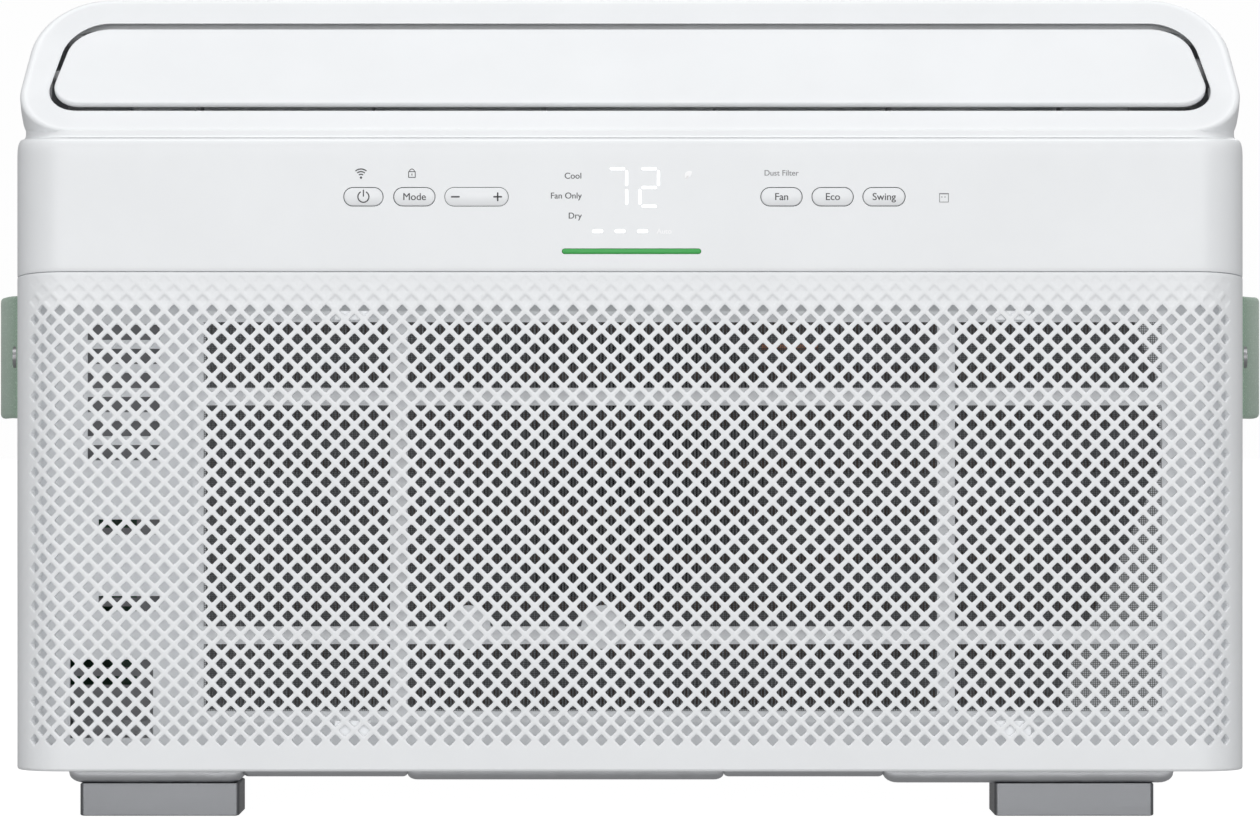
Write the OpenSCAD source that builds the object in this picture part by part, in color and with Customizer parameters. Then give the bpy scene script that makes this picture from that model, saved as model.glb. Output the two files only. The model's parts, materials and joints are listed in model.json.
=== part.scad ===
// Window air conditioner with a tilted top outlet, built as separate pieces.
// The frame is +Z up with the front towards -Y. The origin is the middle of the
// bounding box's bottom face, so the feet stand on z = 0.
// Inside the modules y is the distance behind the front face: see placed().

/* [Overall] */
// Width of the moulded front
front_w = 560; // [556:1:564]
// Depth from the front face to the rear guard
unit_d = 590; // [584:1:600]
// Height of the steel cabinet's top above the sill
cabinet_top = 348; // [347:1:349]
// Half width of the steel cabinet, just inside the moulded front's
cabinet_half_w = 279.4; // [278.5:0.1:279.5]

/* [Moulded front] */
// Depth of the moulded front
front_d = 118; // [116:1:119]
// Radius of the front's upright corners
corner_r = 23; // [18:1:26]
// Wall thickness of the mouldings
wall = 2.5; // [2:0.1:3]
// Height of the front's lower edge
front_bottom = 22; // [21:0.5:23]
// Height of the parting line at the front face
seam_z = 248.7; // [247:0.1:250]
// Fall of the parting line towards the back, in degrees
seam_fall = 6.5; // [6.5:0.1:8]
// Height of the control fascia's top deck
deck_z = 309.5; // [309:0.1:310]
// Depth of the grille's side returns
return_d = 49.5; // [40:0.5:49.5]

/* [Air outlet] */
// Tilt of the outlet's plane back from upright, in degrees
mouth_tilt = 45; // [44:1:46]
// Distance of the outlet's middle behind the front face
mouth_d = 30.3; // [30:0.1:31]
// Height of the outlet's middle
mouth_z = 344; // [343.5:0.1:344.5]
// Half width and half length of the outlet ring
ring_half = [278.5, 39.6]; // [30:0.1:280]
// Half width and half length of the flap
flap_half = [263, 25.5]; // [20:0.5:270]
// Gap around the flap at its ends and at its long edges
flap_gap = [2.5, 1.8]; // [1.5:0.1:3]
// Thickness of the flap
flap_t = 3; // [2.5:0.1:3]
// Depth of the flap's pivot below the ring's face
flap_pivot_w = 12; // [12:0.1:12.5]
// Place of the flap's pivot up the slope from the middle
flap_pivot_v = 6; // [4:0.5:6]

/* [Louvres] */
// Number of upright louvre blades
vane_count = 6; // [6:6]
// Spacing of the louvre blades
vane_pitch = 80; // [70:1:82]
// Depth of the blades' pivots below the ring's face
vane_pivot_w = 40; // [39:0.5:40]

/* [Controls] */
// Height of the button row
button_z = 282.7; // [280:0.1:285]
// Height of each button
button_h = 8.2; // [7:0.1:9]
// Gap round each button
button_gap = 0.3; // [0.2:0.05:0.4]

/* [Fan and motor] */
// Sideways place of the fan shaft
shaft_x = -10; // [-14:1:-6]
// Height of the fan shaft
shaft_z = 170; // [168:1:172]
// Radius of the fan shaft
shaft_r = 4; // [3.5:0.1:4.5]
// Outer radius of the blower wheel
wheel_r = 90; // [84:1:92]
// Outer radius of the condenser fan with its slinger ring
fan_r = 140; // [136:1:142]

/* [Feet] */
// Size of each foot: width, depth and height
foot_size = [73, 43, 15.2]; // [10:0.1:80]
// Sideways places of the left and right feet
foot_x = [-215.5, 203.5]; // [-220:0.5:210]

/* [Handles] */
// Height of a carry handle
handle_h = 57; // [50:1:60]
// Length of a carry handle, front to back
handle_l = 150; // [140:1:160]
// How far a handle stands out from the middle of the unit
handle_reach = 299; // [296:0.5:300]
// Thickness of a handle
handle_t = 4; // [3:0.5:5]

/* [Hidden] */
$fn = 48;

front_y = -unit_d / 2;
half_w = front_w / 2;
big = 700;
sheet = 1.2;
frame_half_w = half_w - wall - 0.7;
back_in = unit_d - 4;
pan_top = 19.5;

// Colours
white = [0.93, 0.94, 0.95];
pale_grey = [0.80, 0.81, 0.82];
galvanised = [0.66, 0.67, 0.69];
steel_grey = [0.60, 0.61, 0.63];
copper = [0.76, 0.45, 0.30];
fin_alu = [0.70, 0.72, 0.74];
black = [0.12, 0.12, 0.13];
sage = [0.53, 0.63, 0.56];
board_green = [0.10, 0.35, 0.22];
light_green = [0.28, 0.68, 0.34];

// Moves a piece from distance behind the front face to the model's frame.
module placed() {
    translate([0, front_y, 0]) children();
}

// The outlet's own frame: x across, y up the slope, z out of the mouth.
module at_mouth() {
    placed() translate([0, mouth_d, mouth_z]) rotate([mouth_tilt, 0, 0]) children();
}

// A cube given by its low and high corners.
module block(low, high) {
    translate(low) cube(high - low);
}

// The fan shaft's own frame: z runs towards the back from distance d.
module on_shaft(d) {
    placed() translate([shaft_x, d, shaft_z]) rotate([-90, 0, 0]) children();
}

// A flat plate in the XZ plane, with its front face at distance d.
module upright(d, t) {
    placed() translate([0, d + t, 0]) rotate([90, 0, 0]) linear_extrude(t) children();
}

// Plan outline of the front: rounded front corners, square at the back.
module front_plan(half, d0, d1, r) {
    for (s = [-1, 1]) translate([s * (half - r), d0 + r]) circle(r = r);
    translate([r - half, d0]) square([2 * (half - r), d1 - d0]);
    translate([-half, d0 + r]) square([2 * half, d1 - d0 - r]);
}

// A U-shaped wall that follows the front's plan.
module front_shell(d1, z0, z1) {
    translate([0, 0, z0]) linear_extrude(z1 - z0) difference() {
        front_plan(half_w, 0, d1, corner_r);
        front_plan(half_w - wall, wall, d1 + 1, corner_r - wall);
    }
}

// Everything on one side of the parting line; gap keeps the mouldings apart.
module above_seam(gap) {
    translate([0, 0, seam_z + gap]) rotate([-seam_fall, 0, 0])
        translate([-big / 2, -big / 2, 0]) cube([big, big, big]);
}

module below_seam(gap) {
    translate([0, 0, seam_z - gap]) rotate([-seam_fall, 0, 0])
        translate([-big / 2, -big / 2, -big]) cube([big, big, big]);
}

// Rounded outline of the outlet, wider corners at the top of the slope.
module mouth_outline(half, r_low, r_high, slant) {
    hull() {
        for (s = [-1, 1]) {
            translate([s * (half[0] - r_low), r_low - half[1]]) circle(r = r_low, $fn = 48);
            translate([s * (half[0] - slant - r_high), half[1] - r_high])
                circle(r = r_high, $fn = 64);
        }
    }
}

// A pill: a bar with round ends along x, through a thickness t along y.
module pill(w, h, t) {
    rotate([-90, 0, 0]) {
        for (s = [-1, 1]) translate([s * (w - h) / 2, 0, 0]) cylinder(d = h, h = t);
        translate([(h - w) / 2, -h / 2, 0]) cube([w - h, h, t]);
    }
}

// A pipe through a list of points, with a ball a little wider at each bend.
module pipe(points, r) {
    for (i = [0 : len(points) - 2]) {
        run = points[i + 1] - points[i];
        translate(points[i])
            rotate([0, acos(run[2] / norm(run)), atan2(run[1], run[0])])
                cylinder(r = r, h = norm(run), $fn = 24);
        if (i > 0) translate(points[i]) sphere(r = r + 0.4, $fn = 24);
    }
}

// ---------- base and feet ----------

pan_half = 266;
pan_front = 27;
drain_pos = [[-60, 560], [-150, 500]];
drain_r = 7.5;
compressor_pos = [188, 270];
grommet_circle = 66;
grommet_angles = [90, 210, 330];

// Places the children at the compressor's three mounting points.
module at_grommets(z) {
    for (a = grommet_angles)
        placed() translate([compressor_pos[0] + grommet_circle * cos(a),
            compressor_pos[1] + grommet_circle * sin(a), z]) children();
}

module base_pan() {
    color(galvanised) {
        difference() {
            placed() union() {
                block([-pan_half, pan_front, 18], [pan_half, back_in - 2, 42]);
                block([-257, pan_front + 2, foot_size[2]], [-177, back_in - 6, 18]);
                block([-102, pan_front + 2, 16.6], [43, back_in - 6, 18]);
                block([116, pan_front + 2, foot_size[2]], [249, back_in - 6, 18]);
            }
            placed() block([1.5 - pan_half, pan_front + 1.5, pan_top],
                [pan_half - 1.5, back_in - 3.5, 60]);
            placed() block([1.5 - pan_half, pan_front - 1, 28.5], [pan_half - 1.5, pan_front + 2, 60]);
            for (p = drain_pos) placed() translate([p[0], p[1], 0]) cylinder(r = drain_r, h = 60);
        }
        at_grommets(pan_top - 1) cylinder(r = 4, h = 24);
    }
}

module foot(x, d) {
    color(steel_grey) placed() block([x - foot_size[0] / 2, d, 0],
        [x + foot_size[0] / 2, d + foot_size[1], foot_size[2]]);
}

module foot_front_left() foot(foot_x[0], pan_front + 2);
module foot_front_right() foot(foot_x[1], pan_front + 2);
module feet_rear() {
    for (x = foot_x) foot(x, 500);
}

module drain_plug() {
    color(black) placed() translate([drain_pos[0][0], drain_pos[0][1], 0]) {
        translate([0, 0, 16.8]) cylinder(r = drain_r - 0.05, h = 5);
        translate([0, 0, pan_top + 0.1]) cylinder(r = 10.5, h = 2.4);
    }
}

// ---------- steel cabinet ----------

wrap_front = front_d + 0.5;
wrap_bend = 6;
louvre_rows = 16;
louvre_pitch = 11;
rail_bolt_x = 170;
rail_bolt_d = 150;
rail_bolt_r = 2.2;
curtain_bolt_d = 132;
curtain_bolt_z = [90, 290];

// The cabinet's outline from behind, drawn in by g, with rounded bends at the top.
module wrap_outline(g, z0) {
    half = cabinet_half_w - g;
    bend = wrap_bend - g;
    for (s = [-1, 1]) translate([s * (half - bend), cabinet_top - g - bend]) circle(r = bend);
    translate([-half, z0]) square([2 * half, cabinet_top - g - bend - z0]);
    translate([bend - half, z0]) square([2 * (half - bend), cabinet_top - g - z0]);
}

module cabinet_wrap() {
    color(white) difference() {
        upright(wrap_front, back_in - wrap_front) wrap_outline(0, 24);
        upright(wrap_front - 1, back_in - wrap_front + 2) wrap_outline(sheet, 10);
        for (col = [0, 1], row = [0 : louvre_rows - 1])
            placed() block([-big / 2, 330 + 105 * col, 110 + louvre_pitch * row],
                [big / 2, 420 + 105 * col, 113.5 + louvre_pitch * row]);
        for (col = [-1, 0, 1], row = [0 : 5])
            placed() block([col * 150 - 60, 345 + 14 * row, 300],
                [col * 150 + 60, 349 + 14 * row, 360]);
        for (x = [-rail_bolt_x, rail_bolt_x])
            placed() translate([x, rail_bolt_d, 340]) cylinder(r = rail_bolt_r, h = 20);
        for (z = curtain_bolt_z)
            placed() translate([-big / 2, curtain_bolt_d, z]) rotate([0, 90, 0])
                cylinder(r = rail_bolt_r, h = big);
        handle_holes(1);
    }
}

// Screw holes under the front (e = -1) or rear (e = 1) tabs of both handles.
module handle_holes(e) {
    for (s = [-1, 1])
        placed() translate([s * half_w, handle_mid + e * handle_foot, handle_z])
            rotate([0, 90, 0]) cylinder(r = 2.6, h = 20, center = true);
}

module rear_guard() {
    color(galvanised) {
        upright(back_in + 0.5, 1.5) difference() {
            wrap_outline(0, 24);
            for (col = [-1, 0, 1], row = [0 : 22])
                translate([col * 172 - 80, 38 + 13 * row]) square([160, 8]);
        }
        for (s = [-1, 1])
            placed() block([s * 86 - 3, back_in + 2, 30], [s * 86 + 3, unit_d, cabinet_top - 8]);
        placed() block([-cabinet_half_w, back_in + 2, 24], [cabinet_half_w, unit_d, 30]);
        upright(back_in + 2, unit_d - back_in - 2) intersection() {
            wrap_outline(0, 24);
            translate([-half_w, cabinet_top - 8]) square([front_w, 8]);
        }
    }
}

// ---------- moulded front ----------

face_d = 22;
coil_opening = [[-194, 49], [197, 49], [202, 77], [218, 104], [236, 145], [243, 163],
    [240, 204], [231, 222], [231, 226], [-194, 226]];
vent_patch = [[-248, 163], [-215, 228]];
hinge_d = 25;
hinge_z = 27;
hinge_r = 2.5;
inlet_d = 92;
inlet_z = 62;

module front_frame() {
    color(pale_grey) difference() {
        placed() union() {
            block([-frame_half_w, face_d, 24.5], [frame_half_w, front_d, 268]);
            intersection() {
                difference() {
                    block([-half_w, return_d + 1, front_bottom], [half_w, front_d, 260]);
                    block([1 - frame_half_w, return_d, 0], [frame_half_w - 1, front_d + 1, 270]);
                }
                below_seam(0.3);
            }
        }
        placed() block([3 - frame_half_w, face_d + wall, 27.5], [frame_half_w - 3, front_d + 1, 265]);
        placed() block([-pan_half - 1, face_d + wall, 20], [pan_half + 1, front_d + 1, 30]);
        placed() block([-259, scroll_d[0] - 1, 260], [259, front_d + 1, 270]);
        placed() translate([0, face_d + wall + 1, 0]) rotate([90, 0, 0])
            linear_extrude(wall + 2) polygon(coil_opening);
        for (k = [0 : 5])
            placed() block([-248, face_d - 1, 163 + 11 * k], [-215, face_d + wall + 1, 170 + 11 * k]);
        placed() block([-243, face_d - 1, 129], [-215, face_d + wall + 1, 136]);
        placed() block([-243, face_d - 1, 94], [-215, face_d + wall + 1, 101]);
        placed() block([-256, face_d - 1, 36], [-218, face_d + wall + 1, 72]);
        for (s = [-1, 1])
            placed() translate([s * half_w, hinge_d, hinge_z]) rotate([0, 90, 0])
                cylinder(r = hinge_r + 0.05, h = 30, center = true);
        placed() translate([-half_w - 5, inlet_d, inlet_z]) rotate([0, 90, 0])
            cylinder(r = 9, h = 20);
        handle_holes(-1);
    }
}

button_x = [-120.9, -97.8, -69.6, 68.7, 91.9, 115.2];
button_w = [17.7, 18.6, 28.6, 18.6, 18.6, 19];
led_x = 0.7;
led_w = 63;
led_h = 2.3;
led_z = 258;
board_d = 11;

// One pill-shaped button with its stem; grow widens it for the hole it sits in.
module button(i, grow) {
    placed() translate([button_x[i], 0, button_z]) {
        pill(button_w[i] + 2 * grow, button_h + 2 * grow, 4.5);
    }
}

module button_stem(i) {
    placed() translate([button_x[i], 4, button_z]) rotate([-90, 0, 0]) cylinder(r = 2, h = 5.2);
}

module control_fascia() {
    color(white) {
        difference() {
            placed() intersection() {
                union() {
                    front_shell(front_d, 230, deck_z);
                    translate([0, 0, deck_z - wall]) linear_extrude(wall)
                        front_plan(half_w - 1, 1, front_d, corner_r - 1);
                }
                above_seam(0.3);
            }
            placed() block([-269, 9, 300], [269, front_d + 1, 320]);
            for (i = [0 : 5]) button(i, button_gap);
            placed() translate([led_x, -1, led_z]) pill(led_w + 0.3, led_h + 0.3, 5);
        }
        for (x = [-150, -30, 40, 150])
            placed() translate([x, wall - 0.5, x * x == 22500 ? 296 : 300]) rotate([-90, 0, 0])
                cylinder(r = 2.5, h = board_d - wall + 0.5);
    }
}

skirt_half_w = 268.5;
rail_v = 29.8;
ring_shift = -1.1;
neck_half = 276.5;
neck_d = 3.6;
// Height and tilt, in the outlet's frame, of the ring's crest and of its inner edge
crest = [1.88, 6.84];
inner_edge = [-0.6, 5];

// A point of the outlet's side profile: v up the slope, w out of the mouth.
function side(v, w) = [mouth_d + (v - w) * cos(mouth_tilt), mouth_z + (v + w) * sin(mouth_tilt)];

// A solid of a side profile (distance, height), reaching half to each side.
module across(half) {
    placed() translate([-half, 0, 0]) rotate([90, 0, 90]) linear_extrude(2 * half) children();
}

// Everything below a plane in the outlet's frame, given as [height at the middle, tilt].
module under_plane(p) {
    at_mouth() translate([0, 0, p[0]]) rotate([p[1], 0, 0])
        translate([-big / 2, -big / 2, -big]) cube([big, big, big]);
}

// The ring's outline, drawn in by g.
module ring_outline(g) {
    translate([0, ring_shift]) mouth_outline(ring_half - [g, g], 23 - g, 36 - g, 3);
}

// A thin slab of an outline lying in a plane of the outlet's frame.
module slab(p) {
    at_mouth() translate([0, 0, p[0]]) rotate([p[1], 0, 0]) linear_extrude(0.05) children();
}

brow_r = 35.5;
brow_z = 346.5;
brow_flat = 0.79;

// Everything inside the outlet's outline as seen from the front, with its round upper corners.
module brow_outline() {
    translate([0, big, 0]) rotate([90, 0, 0]) linear_extrude(2 * big) {
        translate([-neck_half, 0]) square([2 * neck_half, brow_z]);
        hull() for (s = [-1, 1])
            translate([s * (neck_half - brow_r), brow_z]) scale([1, brow_flat]) circle(r = brow_r);
    }
}

module outlet_housing() {
    color(white) difference() {
        union() {
            intersection() {
                at_mouth() translate([0, 0, -14]) linear_extrude(30) ring_outline(0);
                under_plane(crest);
                placed() block([-big, -big, deck_z + 0.1], [big, big, big]);
            }
            intersection() {
                placed() translate([0, 0, deck_z + 0.1]) linear_extrude(cabinet_top + 2 - deck_z)
                    front_plan(neck_half, neck_d, front_d - 0.5, 24);
                under_plane([-3.2, 0]);
            }
            intersection() {
                across(neck_half) polygon([side(20, -20), side(38.4, -8),
                    [front_d - 0.5, cabinet_top + 2], [front_d - 0.5, cabinet_top - 6]]);
                placed() brow_outline();
            }
            across(skirt_half_w) polygon([side(-32, -14), side(-32, -64), [front_d - 1.5, 277],
                [front_d - 1.5, 330], [60, 330]]);
        }
        difference() {
            across(266) polygon([side(-29.5, -3.5), side(-29.5, -67), [front_d - 4, 270],
                [front_d - 4, cabinet_top - 2], side(29.5, -14), side(29.5, -3.5)]);
            at_mouth() translate([-267, rail_v, -vane_pivot_w - 7]) cube([534, 3.5, 14]);
        }
        at_mouth() translate([0, 0, -10]) linear_extrude(20)
            mouth_outline(flap_half + flap_gap, 14, 22, 4);
        hull() {
            slab(inner_edge) mouth_outline(flap_half + flap_gap, 14, 22, 4);
            slab([crest[0] + 0.1, crest[1]]) ring_outline(3);
        }
        for (i = [1 : vane_count])
            at_mouth() translate([vane_x(i), 0, -vane_pivot_w]) rotate([90, 0, 0])
                cylinder(r = 1.85, h = 66, center = true);
        at_mouth() translate([-skirt_half_w, flap_pivot_v, -flap_pivot_w]) rotate([0, 90, 0])
            cylinder(r = 2.55, h = 4);
    }
}

module air_flap() {
    color(white) {
        at_mouth() translate([0, 0, -flap_t]) linear_extrude(flap_t)
            mouth_outline(flap_half, 12, 20, 4);
        for (s = [-1, 1])
            at_mouth() difference() {
                union() {
                    translate([s * 243 - 1.5, flap_pivot_v - 6, -flap_pivot_w]) cube([3, 12, 10]);
                    translate([s * 243 - 1.5, flap_pivot_v, -flap_pivot_w]) rotate([0, 90, 0])
                        cylinder(r = 6, h = 3);
                }
                if (s == 1)
                    translate([240, flap_pivot_v, -flap_pivot_w]) rotate([0, 90, 0])
                        cylinder(r = 2.5, h = 6);
            }
        at_mouth() translate([-268, flap_pivot_v, -flap_pivot_w]) rotate([0, 90, 0])
            cylinder(r = 2.5, h = 26);
    }
}

module flap_motor() {
    color(steel_grey) at_mouth() translate([0, flap_pivot_v, -flap_pivot_w]) rotate([0, 90, 0]) {
        translate([0, 0, 246]) cylinder(r = 8, h = 20);
        translate([0, 0, 241.5]) cylinder(r = 2.45, h = 5);
    }
}

function vane_x(i) = (i - (vane_count + 1) / 2) * vane_pitch;
vane_rear_w = 56;
link_w = 53;

module vane(i) {
    color(pale_grey) at_mouth() translate([vane_x(i), 0, 0]) {
        difference() {
            translate([-0.9, -26, -vane_rear_w]) cube([1.8, 52, 24]);
            translate([-2, -4, -vane_rear_w - 1]) cube([4, 8, 10]);
        }
        for (s = [-1, 1])
            translate([0, s * 28.6, -vane_pivot_w]) rotate([90, 0, 0])
                cylinder(r = 1.8, h = 6.4, center = true);
        translate([0, 0, -link_w]) rotate([90, 0, 0]) cylinder(r = 1, h = 9, center = true);
    }
}

module vane_1() vane(1);
module vane_2() vane(2);
module vane_3() vane(3);
module vane_4() vane(4);
module vane_5() vane(5);
module vane_6() vane(6);

module vane_link() {
    color(pale_grey) at_mouth() difference() {
        translate([-210, -1.5, -56.8]) cube([420, 3, 8.8]);
        for (i = [1 : vane_count])
            translate([vane_x(i) - 1.6, -3, -54.6]) cube([3.2, 6, 5.4]);
    }
}

module swing_motor() {
    color(steel_grey) at_mouth() translate([vane_x(1), 0, -vane_pivot_w]) rotate([90, 0, 0]) {
        translate([0, 0, 32.3]) cylinder(r = 10, h = 14);
    }
}

grille_cell = 43;
grille_hole = 22;
grille_rows = 8;
grille_low_z = 60;
lip_d = 17;

module front_grille() {
    color(white) {
        difference() {
            placed() intersection() {
                union() {
                    front_shell(return_d, front_bottom, 250);
                    translate([0, 0, front_bottom]) linear_extrude(wall) intersection() {
                        front_plan(half_w - 1, 1, return_d, corner_r - 1);
                        translate([-half_w, 0]) square([front_w, lip_d]);
                    }
                }
                below_seam(0.3);
            }
            for (row = [0 : grille_rows - 1], col = [0 : 11 - row % 2])
                placed() translate([(col - (11 - row % 2) / 2) * grille_cell, 0,
                    grille_low_z + row * grille_cell / 2])
                    rotate([0, 45, 0]) cube([grille_hole, 4 * wall, grille_hole], center = true);
        }
        for (s = [-1, 1])
            placed() translate([s * (half_w - wall - 2), hinge_d, hinge_z]) rotate([0, 90, 0])
                cylinder(r = hinge_r, h = 6, center = true);
    }
}

filter_d = 9;
filter_box = [[-199, 44], [247, 231]];
filter_bars_x = [-105.2, 143.8];
filter_bars_z = [192.1, 83.5];
filter_discs_x = [-73.5, -12.2];

module filter_frame() {
    color(pale_grey) {
        difference() {
            placed() block([filter_box[0][0], filter_d, filter_box[0][1]],
                [filter_box[1][0], filter_d + 6, filter_box[1][1]]);
            placed() block([filter_box[0][0] + 5, filter_d - 1, filter_box[0][1] + 5],
                [filter_box[1][0] - 5, filter_d + 7, filter_box[1][1] - 5]);
        }
        for (x = filter_bars_x)
            placed() block([x - 4, filter_d, filter_box[0][1]], [x + 4, filter_d + 2.6, filter_box[1][1]]);
        for (z = filter_bars_z)
            placed() block([filter_box[0][0], filter_d, z - 4], [filter_box[1][0], filter_d + 2.6, z + 4]);
        for (x = filter_discs_x)
            placed() translate([x, filter_d, 87.2]) rotate([-90, 0, 0]) cylinder(r = 10, h = 2.6);
        for (s = [-1, 1])
            placed() block([24 + s * 150 - 8, wall + 0.3, filter_box[1][1] - 4],
                [24 + s * 150 + 8, filter_d + 1, filter_box[1][1]]);
        for (s = [-1, 1])
            placed() block([24 + s * 150 - 8, wall + 0.3, filter_box[0][1] - 6],
                [24 + s * 150 + 8, filter_d + 1, filter_box[0][1] + 1]);
    }
}

module filter_mesh() {
    color(black) placed() block([filter_box[0][0] + 5, filter_d + 3.2, filter_box[0][1] + 5],
        [filter_box[1][0] - 5, filter_d + 4, filter_box[1][1] - 5]);
}

// ---------- carry handles ----------

handle_mid = 130;
handle_z = 210.5;
handle_foot = handle_l / 2 - 10;

// Bowed strap in plan: an arc band between two flat end tabs.
module handle(s) {
    sag = handle_reach - half_w - handle_t;
    half_chord = handle_l / 2 - 20;
    arc_r = (half_chord * half_chord + sag * sag) / (2 * sag);
    color(sage) difference() {
        placed() translate([s * (half_w + 0.05), handle_mid, handle_z - handle_h / 2])
            linear_extrude(handle_h) mirror([s < 0 ? 1 : 0, 0]) {
                for (e = [-1, 1])
                    translate([0, e * handle_foot - 10]) square([handle_t, 20]);
                intersection() {
                    translate([sag - arc_r, 0]) difference() {
                        circle(r = arc_r + handle_t, $fn = 96);
                        circle(r = arc_r, $fn = 96);
                    }
                    translate([0, -half_chord - 3]) square([60, 2 * half_chord + 6]);
                }
            }
        for (e = [-1, 1])
            placed() translate([s * half_w, handle_mid + e * handle_foot, handle_z])
                rotate([0, 90, 0]) cylinder(r = 2.6, h = 20, center = true);
    }
}

module handle_left() handle(-1);
module handle_right() handle(1);

// ---------- controls ----------

module button_power() color(white) { button(0, 0); button_stem(0); }
module button_mode() color(white) { button(1, 0); button_stem(1); }
module button_temperature() color(white) {
    button(2, 0);
    placed() translate([button_x[2], 4, button_z]) rotate([-90, 0, 0]) cylinder(r = 2, h = 3);
    for (s = [-1, 1])
        placed() translate([button_x[2] + s * 9, 4, button_z]) rotate([-90, 0, 0])
            cylinder(r = 1.5, h = 5.2);
    placed() translate([button_x[2], 7, button_z - 3.5]) cylinder(r = 1, h = 7);
}
module button_fan() color(white) { button(3, 0); button_stem(3); }
module button_eco() color(white) { button(4, 0); button_stem(4); }
module button_swing() color(white) { button(5, 0); button_stem(5); }

module display_window() {
    color([0.9, 0.92, 0.95, 0.6]) placed() block([-34, wall + 0.1, 264], [32, board_d - 0.1, 296]);
}

module led_bar() {
    color(light_green) placed() translate([led_x, 0, led_z]) {
        pill(led_w, led_h, 5);
        translate([-led_w / 2 + 3, 4.5, -0.9]) cube([led_w - 6, board_d - 4.6, 1.8]);
    }
}

module display_board() {
    color(board_green) {
        placed() block([-156, board_d, 254], [156, board_d + 1.6, 304]);
        placed() block([120, board_d + 1.6, 262], [146, board_d + 6, 276]);
        placed() block([-20, board_d + 1.6, 270], [10, board_d + 3.6, 290]);
    }
}

// ---------- indoor side ----------

evap_x = [-198, 246];
evap_d = [27, 57];
evap_z = [41, 261];
evap_fins = 45;
evap_rows = 10;

// Hairpin tubes running along x through a coil, joined by round bends.
module coil_tubes(x0, x1, d, z0, pitch, rows, r) {
    for (k = [0 : rows - 1])
        placed() translate([x0, d, z0 + k * pitch]) rotate([0, 90, 0]) cylinder(r = r, h = x1 - x0);
    for (k = [0 : rows - 2])
        placed() translate([k % 2 == 0 ? x0 : x1, d, z0 + (k + 0.5) * pitch])
            rotate([90, 0, 0]) rotate([0, 0, k % 2 == 0 ? 90 : -90])
                rotate_extrude(angle = 180) translate([pitch / 2, 0]) circle(r = r);
}

module fin_pack(x, d, z, count, t) {
    step = (x[1] - x[0] - t) / (count - 1);
    for (i = [0 : count - 1])
        placed() block([x[0] + i * step, d[0], z[0]], [x[0] + i * step + t, d[1], z[1]]);
}

module evaporator_fins() color(fin_alu) fin_pack(evap_x, evap_d, evap_z, evap_fins, 1.4);

module evaporator_tubes() {
    color(copper) coil_tubes(evap_x[0] - 1, evap_x[1] + 3, 42, 54, 21.3, evap_rows, 3.5);
}

module drip_tray() {
    color(pale_grey) difference() {
        placed() block([-206, 25, 29], [254, 59, 40.5]);
        placed() block([-204, 26.5, 31], [252, 57.5, 50]);
        placed() translate([230, 50, 20]) cylinder(r = 4, h = 20);
    }
}

scroll_d = [59.5, 120];
funnel_top = 275;

// Inside outline of the blower's spiral case, grown by g for its outside.
module scroll_outline(g) {
    translate([shaft_x, shaft_z]) polygon([for (a = [0 : 10 : 210])
        (100 + g + 30 * a / 300) * [cos(30 - a), sin(30 - a)]]);
    polygon([[shaft_x - 120 - g, shaft_z], [shaft_x - 128 - g, shaft_z + 36],
        [-255 - g, funnel_top - 12], [-255 - g, funnel_top], [255 + g, funnel_top],
        [255 + g, funnel_top - 12], [shaft_x + 92 + g, shaft_z + 40 - g], [shaft_x, shaft_z]]);
}

module blower_scroll() {
    color(pale_grey) difference() {
        upright(scroll_d[0], scroll_d[1] - scroll_d[0]) scroll_outline(2.5);
        upright(scroll_d[0] + 2.5, scroll_d[1]) union() {
            scroll_outline(0);
            translate([-255, funnel_top - 1]) square([510, 20]);
        }
        on_shaft(scroll_d[0] - 1) cylinder(r = 74, h = 10);
    }
}

blade_count = 32;

module blower_wheel() {
    color(black) on_shaft(66) {
        difference() {
            cylinder(r = wheel_r, h = 2);
            translate([0, 0, -1]) cylinder(r = wheel_r - 18, h = 4);
        }
        for (i = [0 : blade_count - 1]) rotate(i * 360 / blade_count)
            linear_extrude(46) polygon([[wheel_r - 17, 0], [wheel_r - 8, 2.2], [wheel_r - 0.6, 7.5],
                [wheel_r - 1.4, 8.6], [wheel_r - 8.6, 3.6], [wheel_r - 17, 1.4]]);
        difference() {
            union() {
                translate([0, 0, 44]) cylinder(r = wheel_r, h = 2);
                translate([0, 0, 22]) cylinder(r = 14, h = 22);
            }
            cylinder(r = shaft_r, h = 60);
        }
    }
}

bulkhead_d = 124;

module bulkhead() {
    color(galvanised) upright(bulkhead_d, 1.5) difference() {
        translate([-264, pan_top + 0.2]) square([528, cabinet_top - sheet - pan_top - 1]);
        translate([shaft_x, shaft_z]) circle(r = 22);
        translate([232, 60]) circle(r = 12);
        translate([232, 100]) circle(r = 12);
        translate([-240, 60]) circle(r = 14);
    }
}

// ---------- control box ----------

box_low = [-270, 32, 44];
box_high = [-215, 112, 226];

module control_box() {
    color(pale_grey) difference() {
        placed() block(box_low, box_high);
        placed() block(box_low + [2, -1, 2], box_high - [2, 2, 2]);
        placed() translate([box_low[0] - 1, inlet_d, inlet_z]) rotate([0, 90, 0])
            cylinder(r = 6, h = 10);
    }
}

module box_cover() {
    color(pale_grey) upright(box_low[1] - 2.2, 2) difference() {
        translate([box_low[0], box_low[2]]) square([55, 182]);
        for (k = [0 : 9]) translate([box_low[0] + 12, 60 + 8 * k]) square([32, 4]);
    }
}

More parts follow.
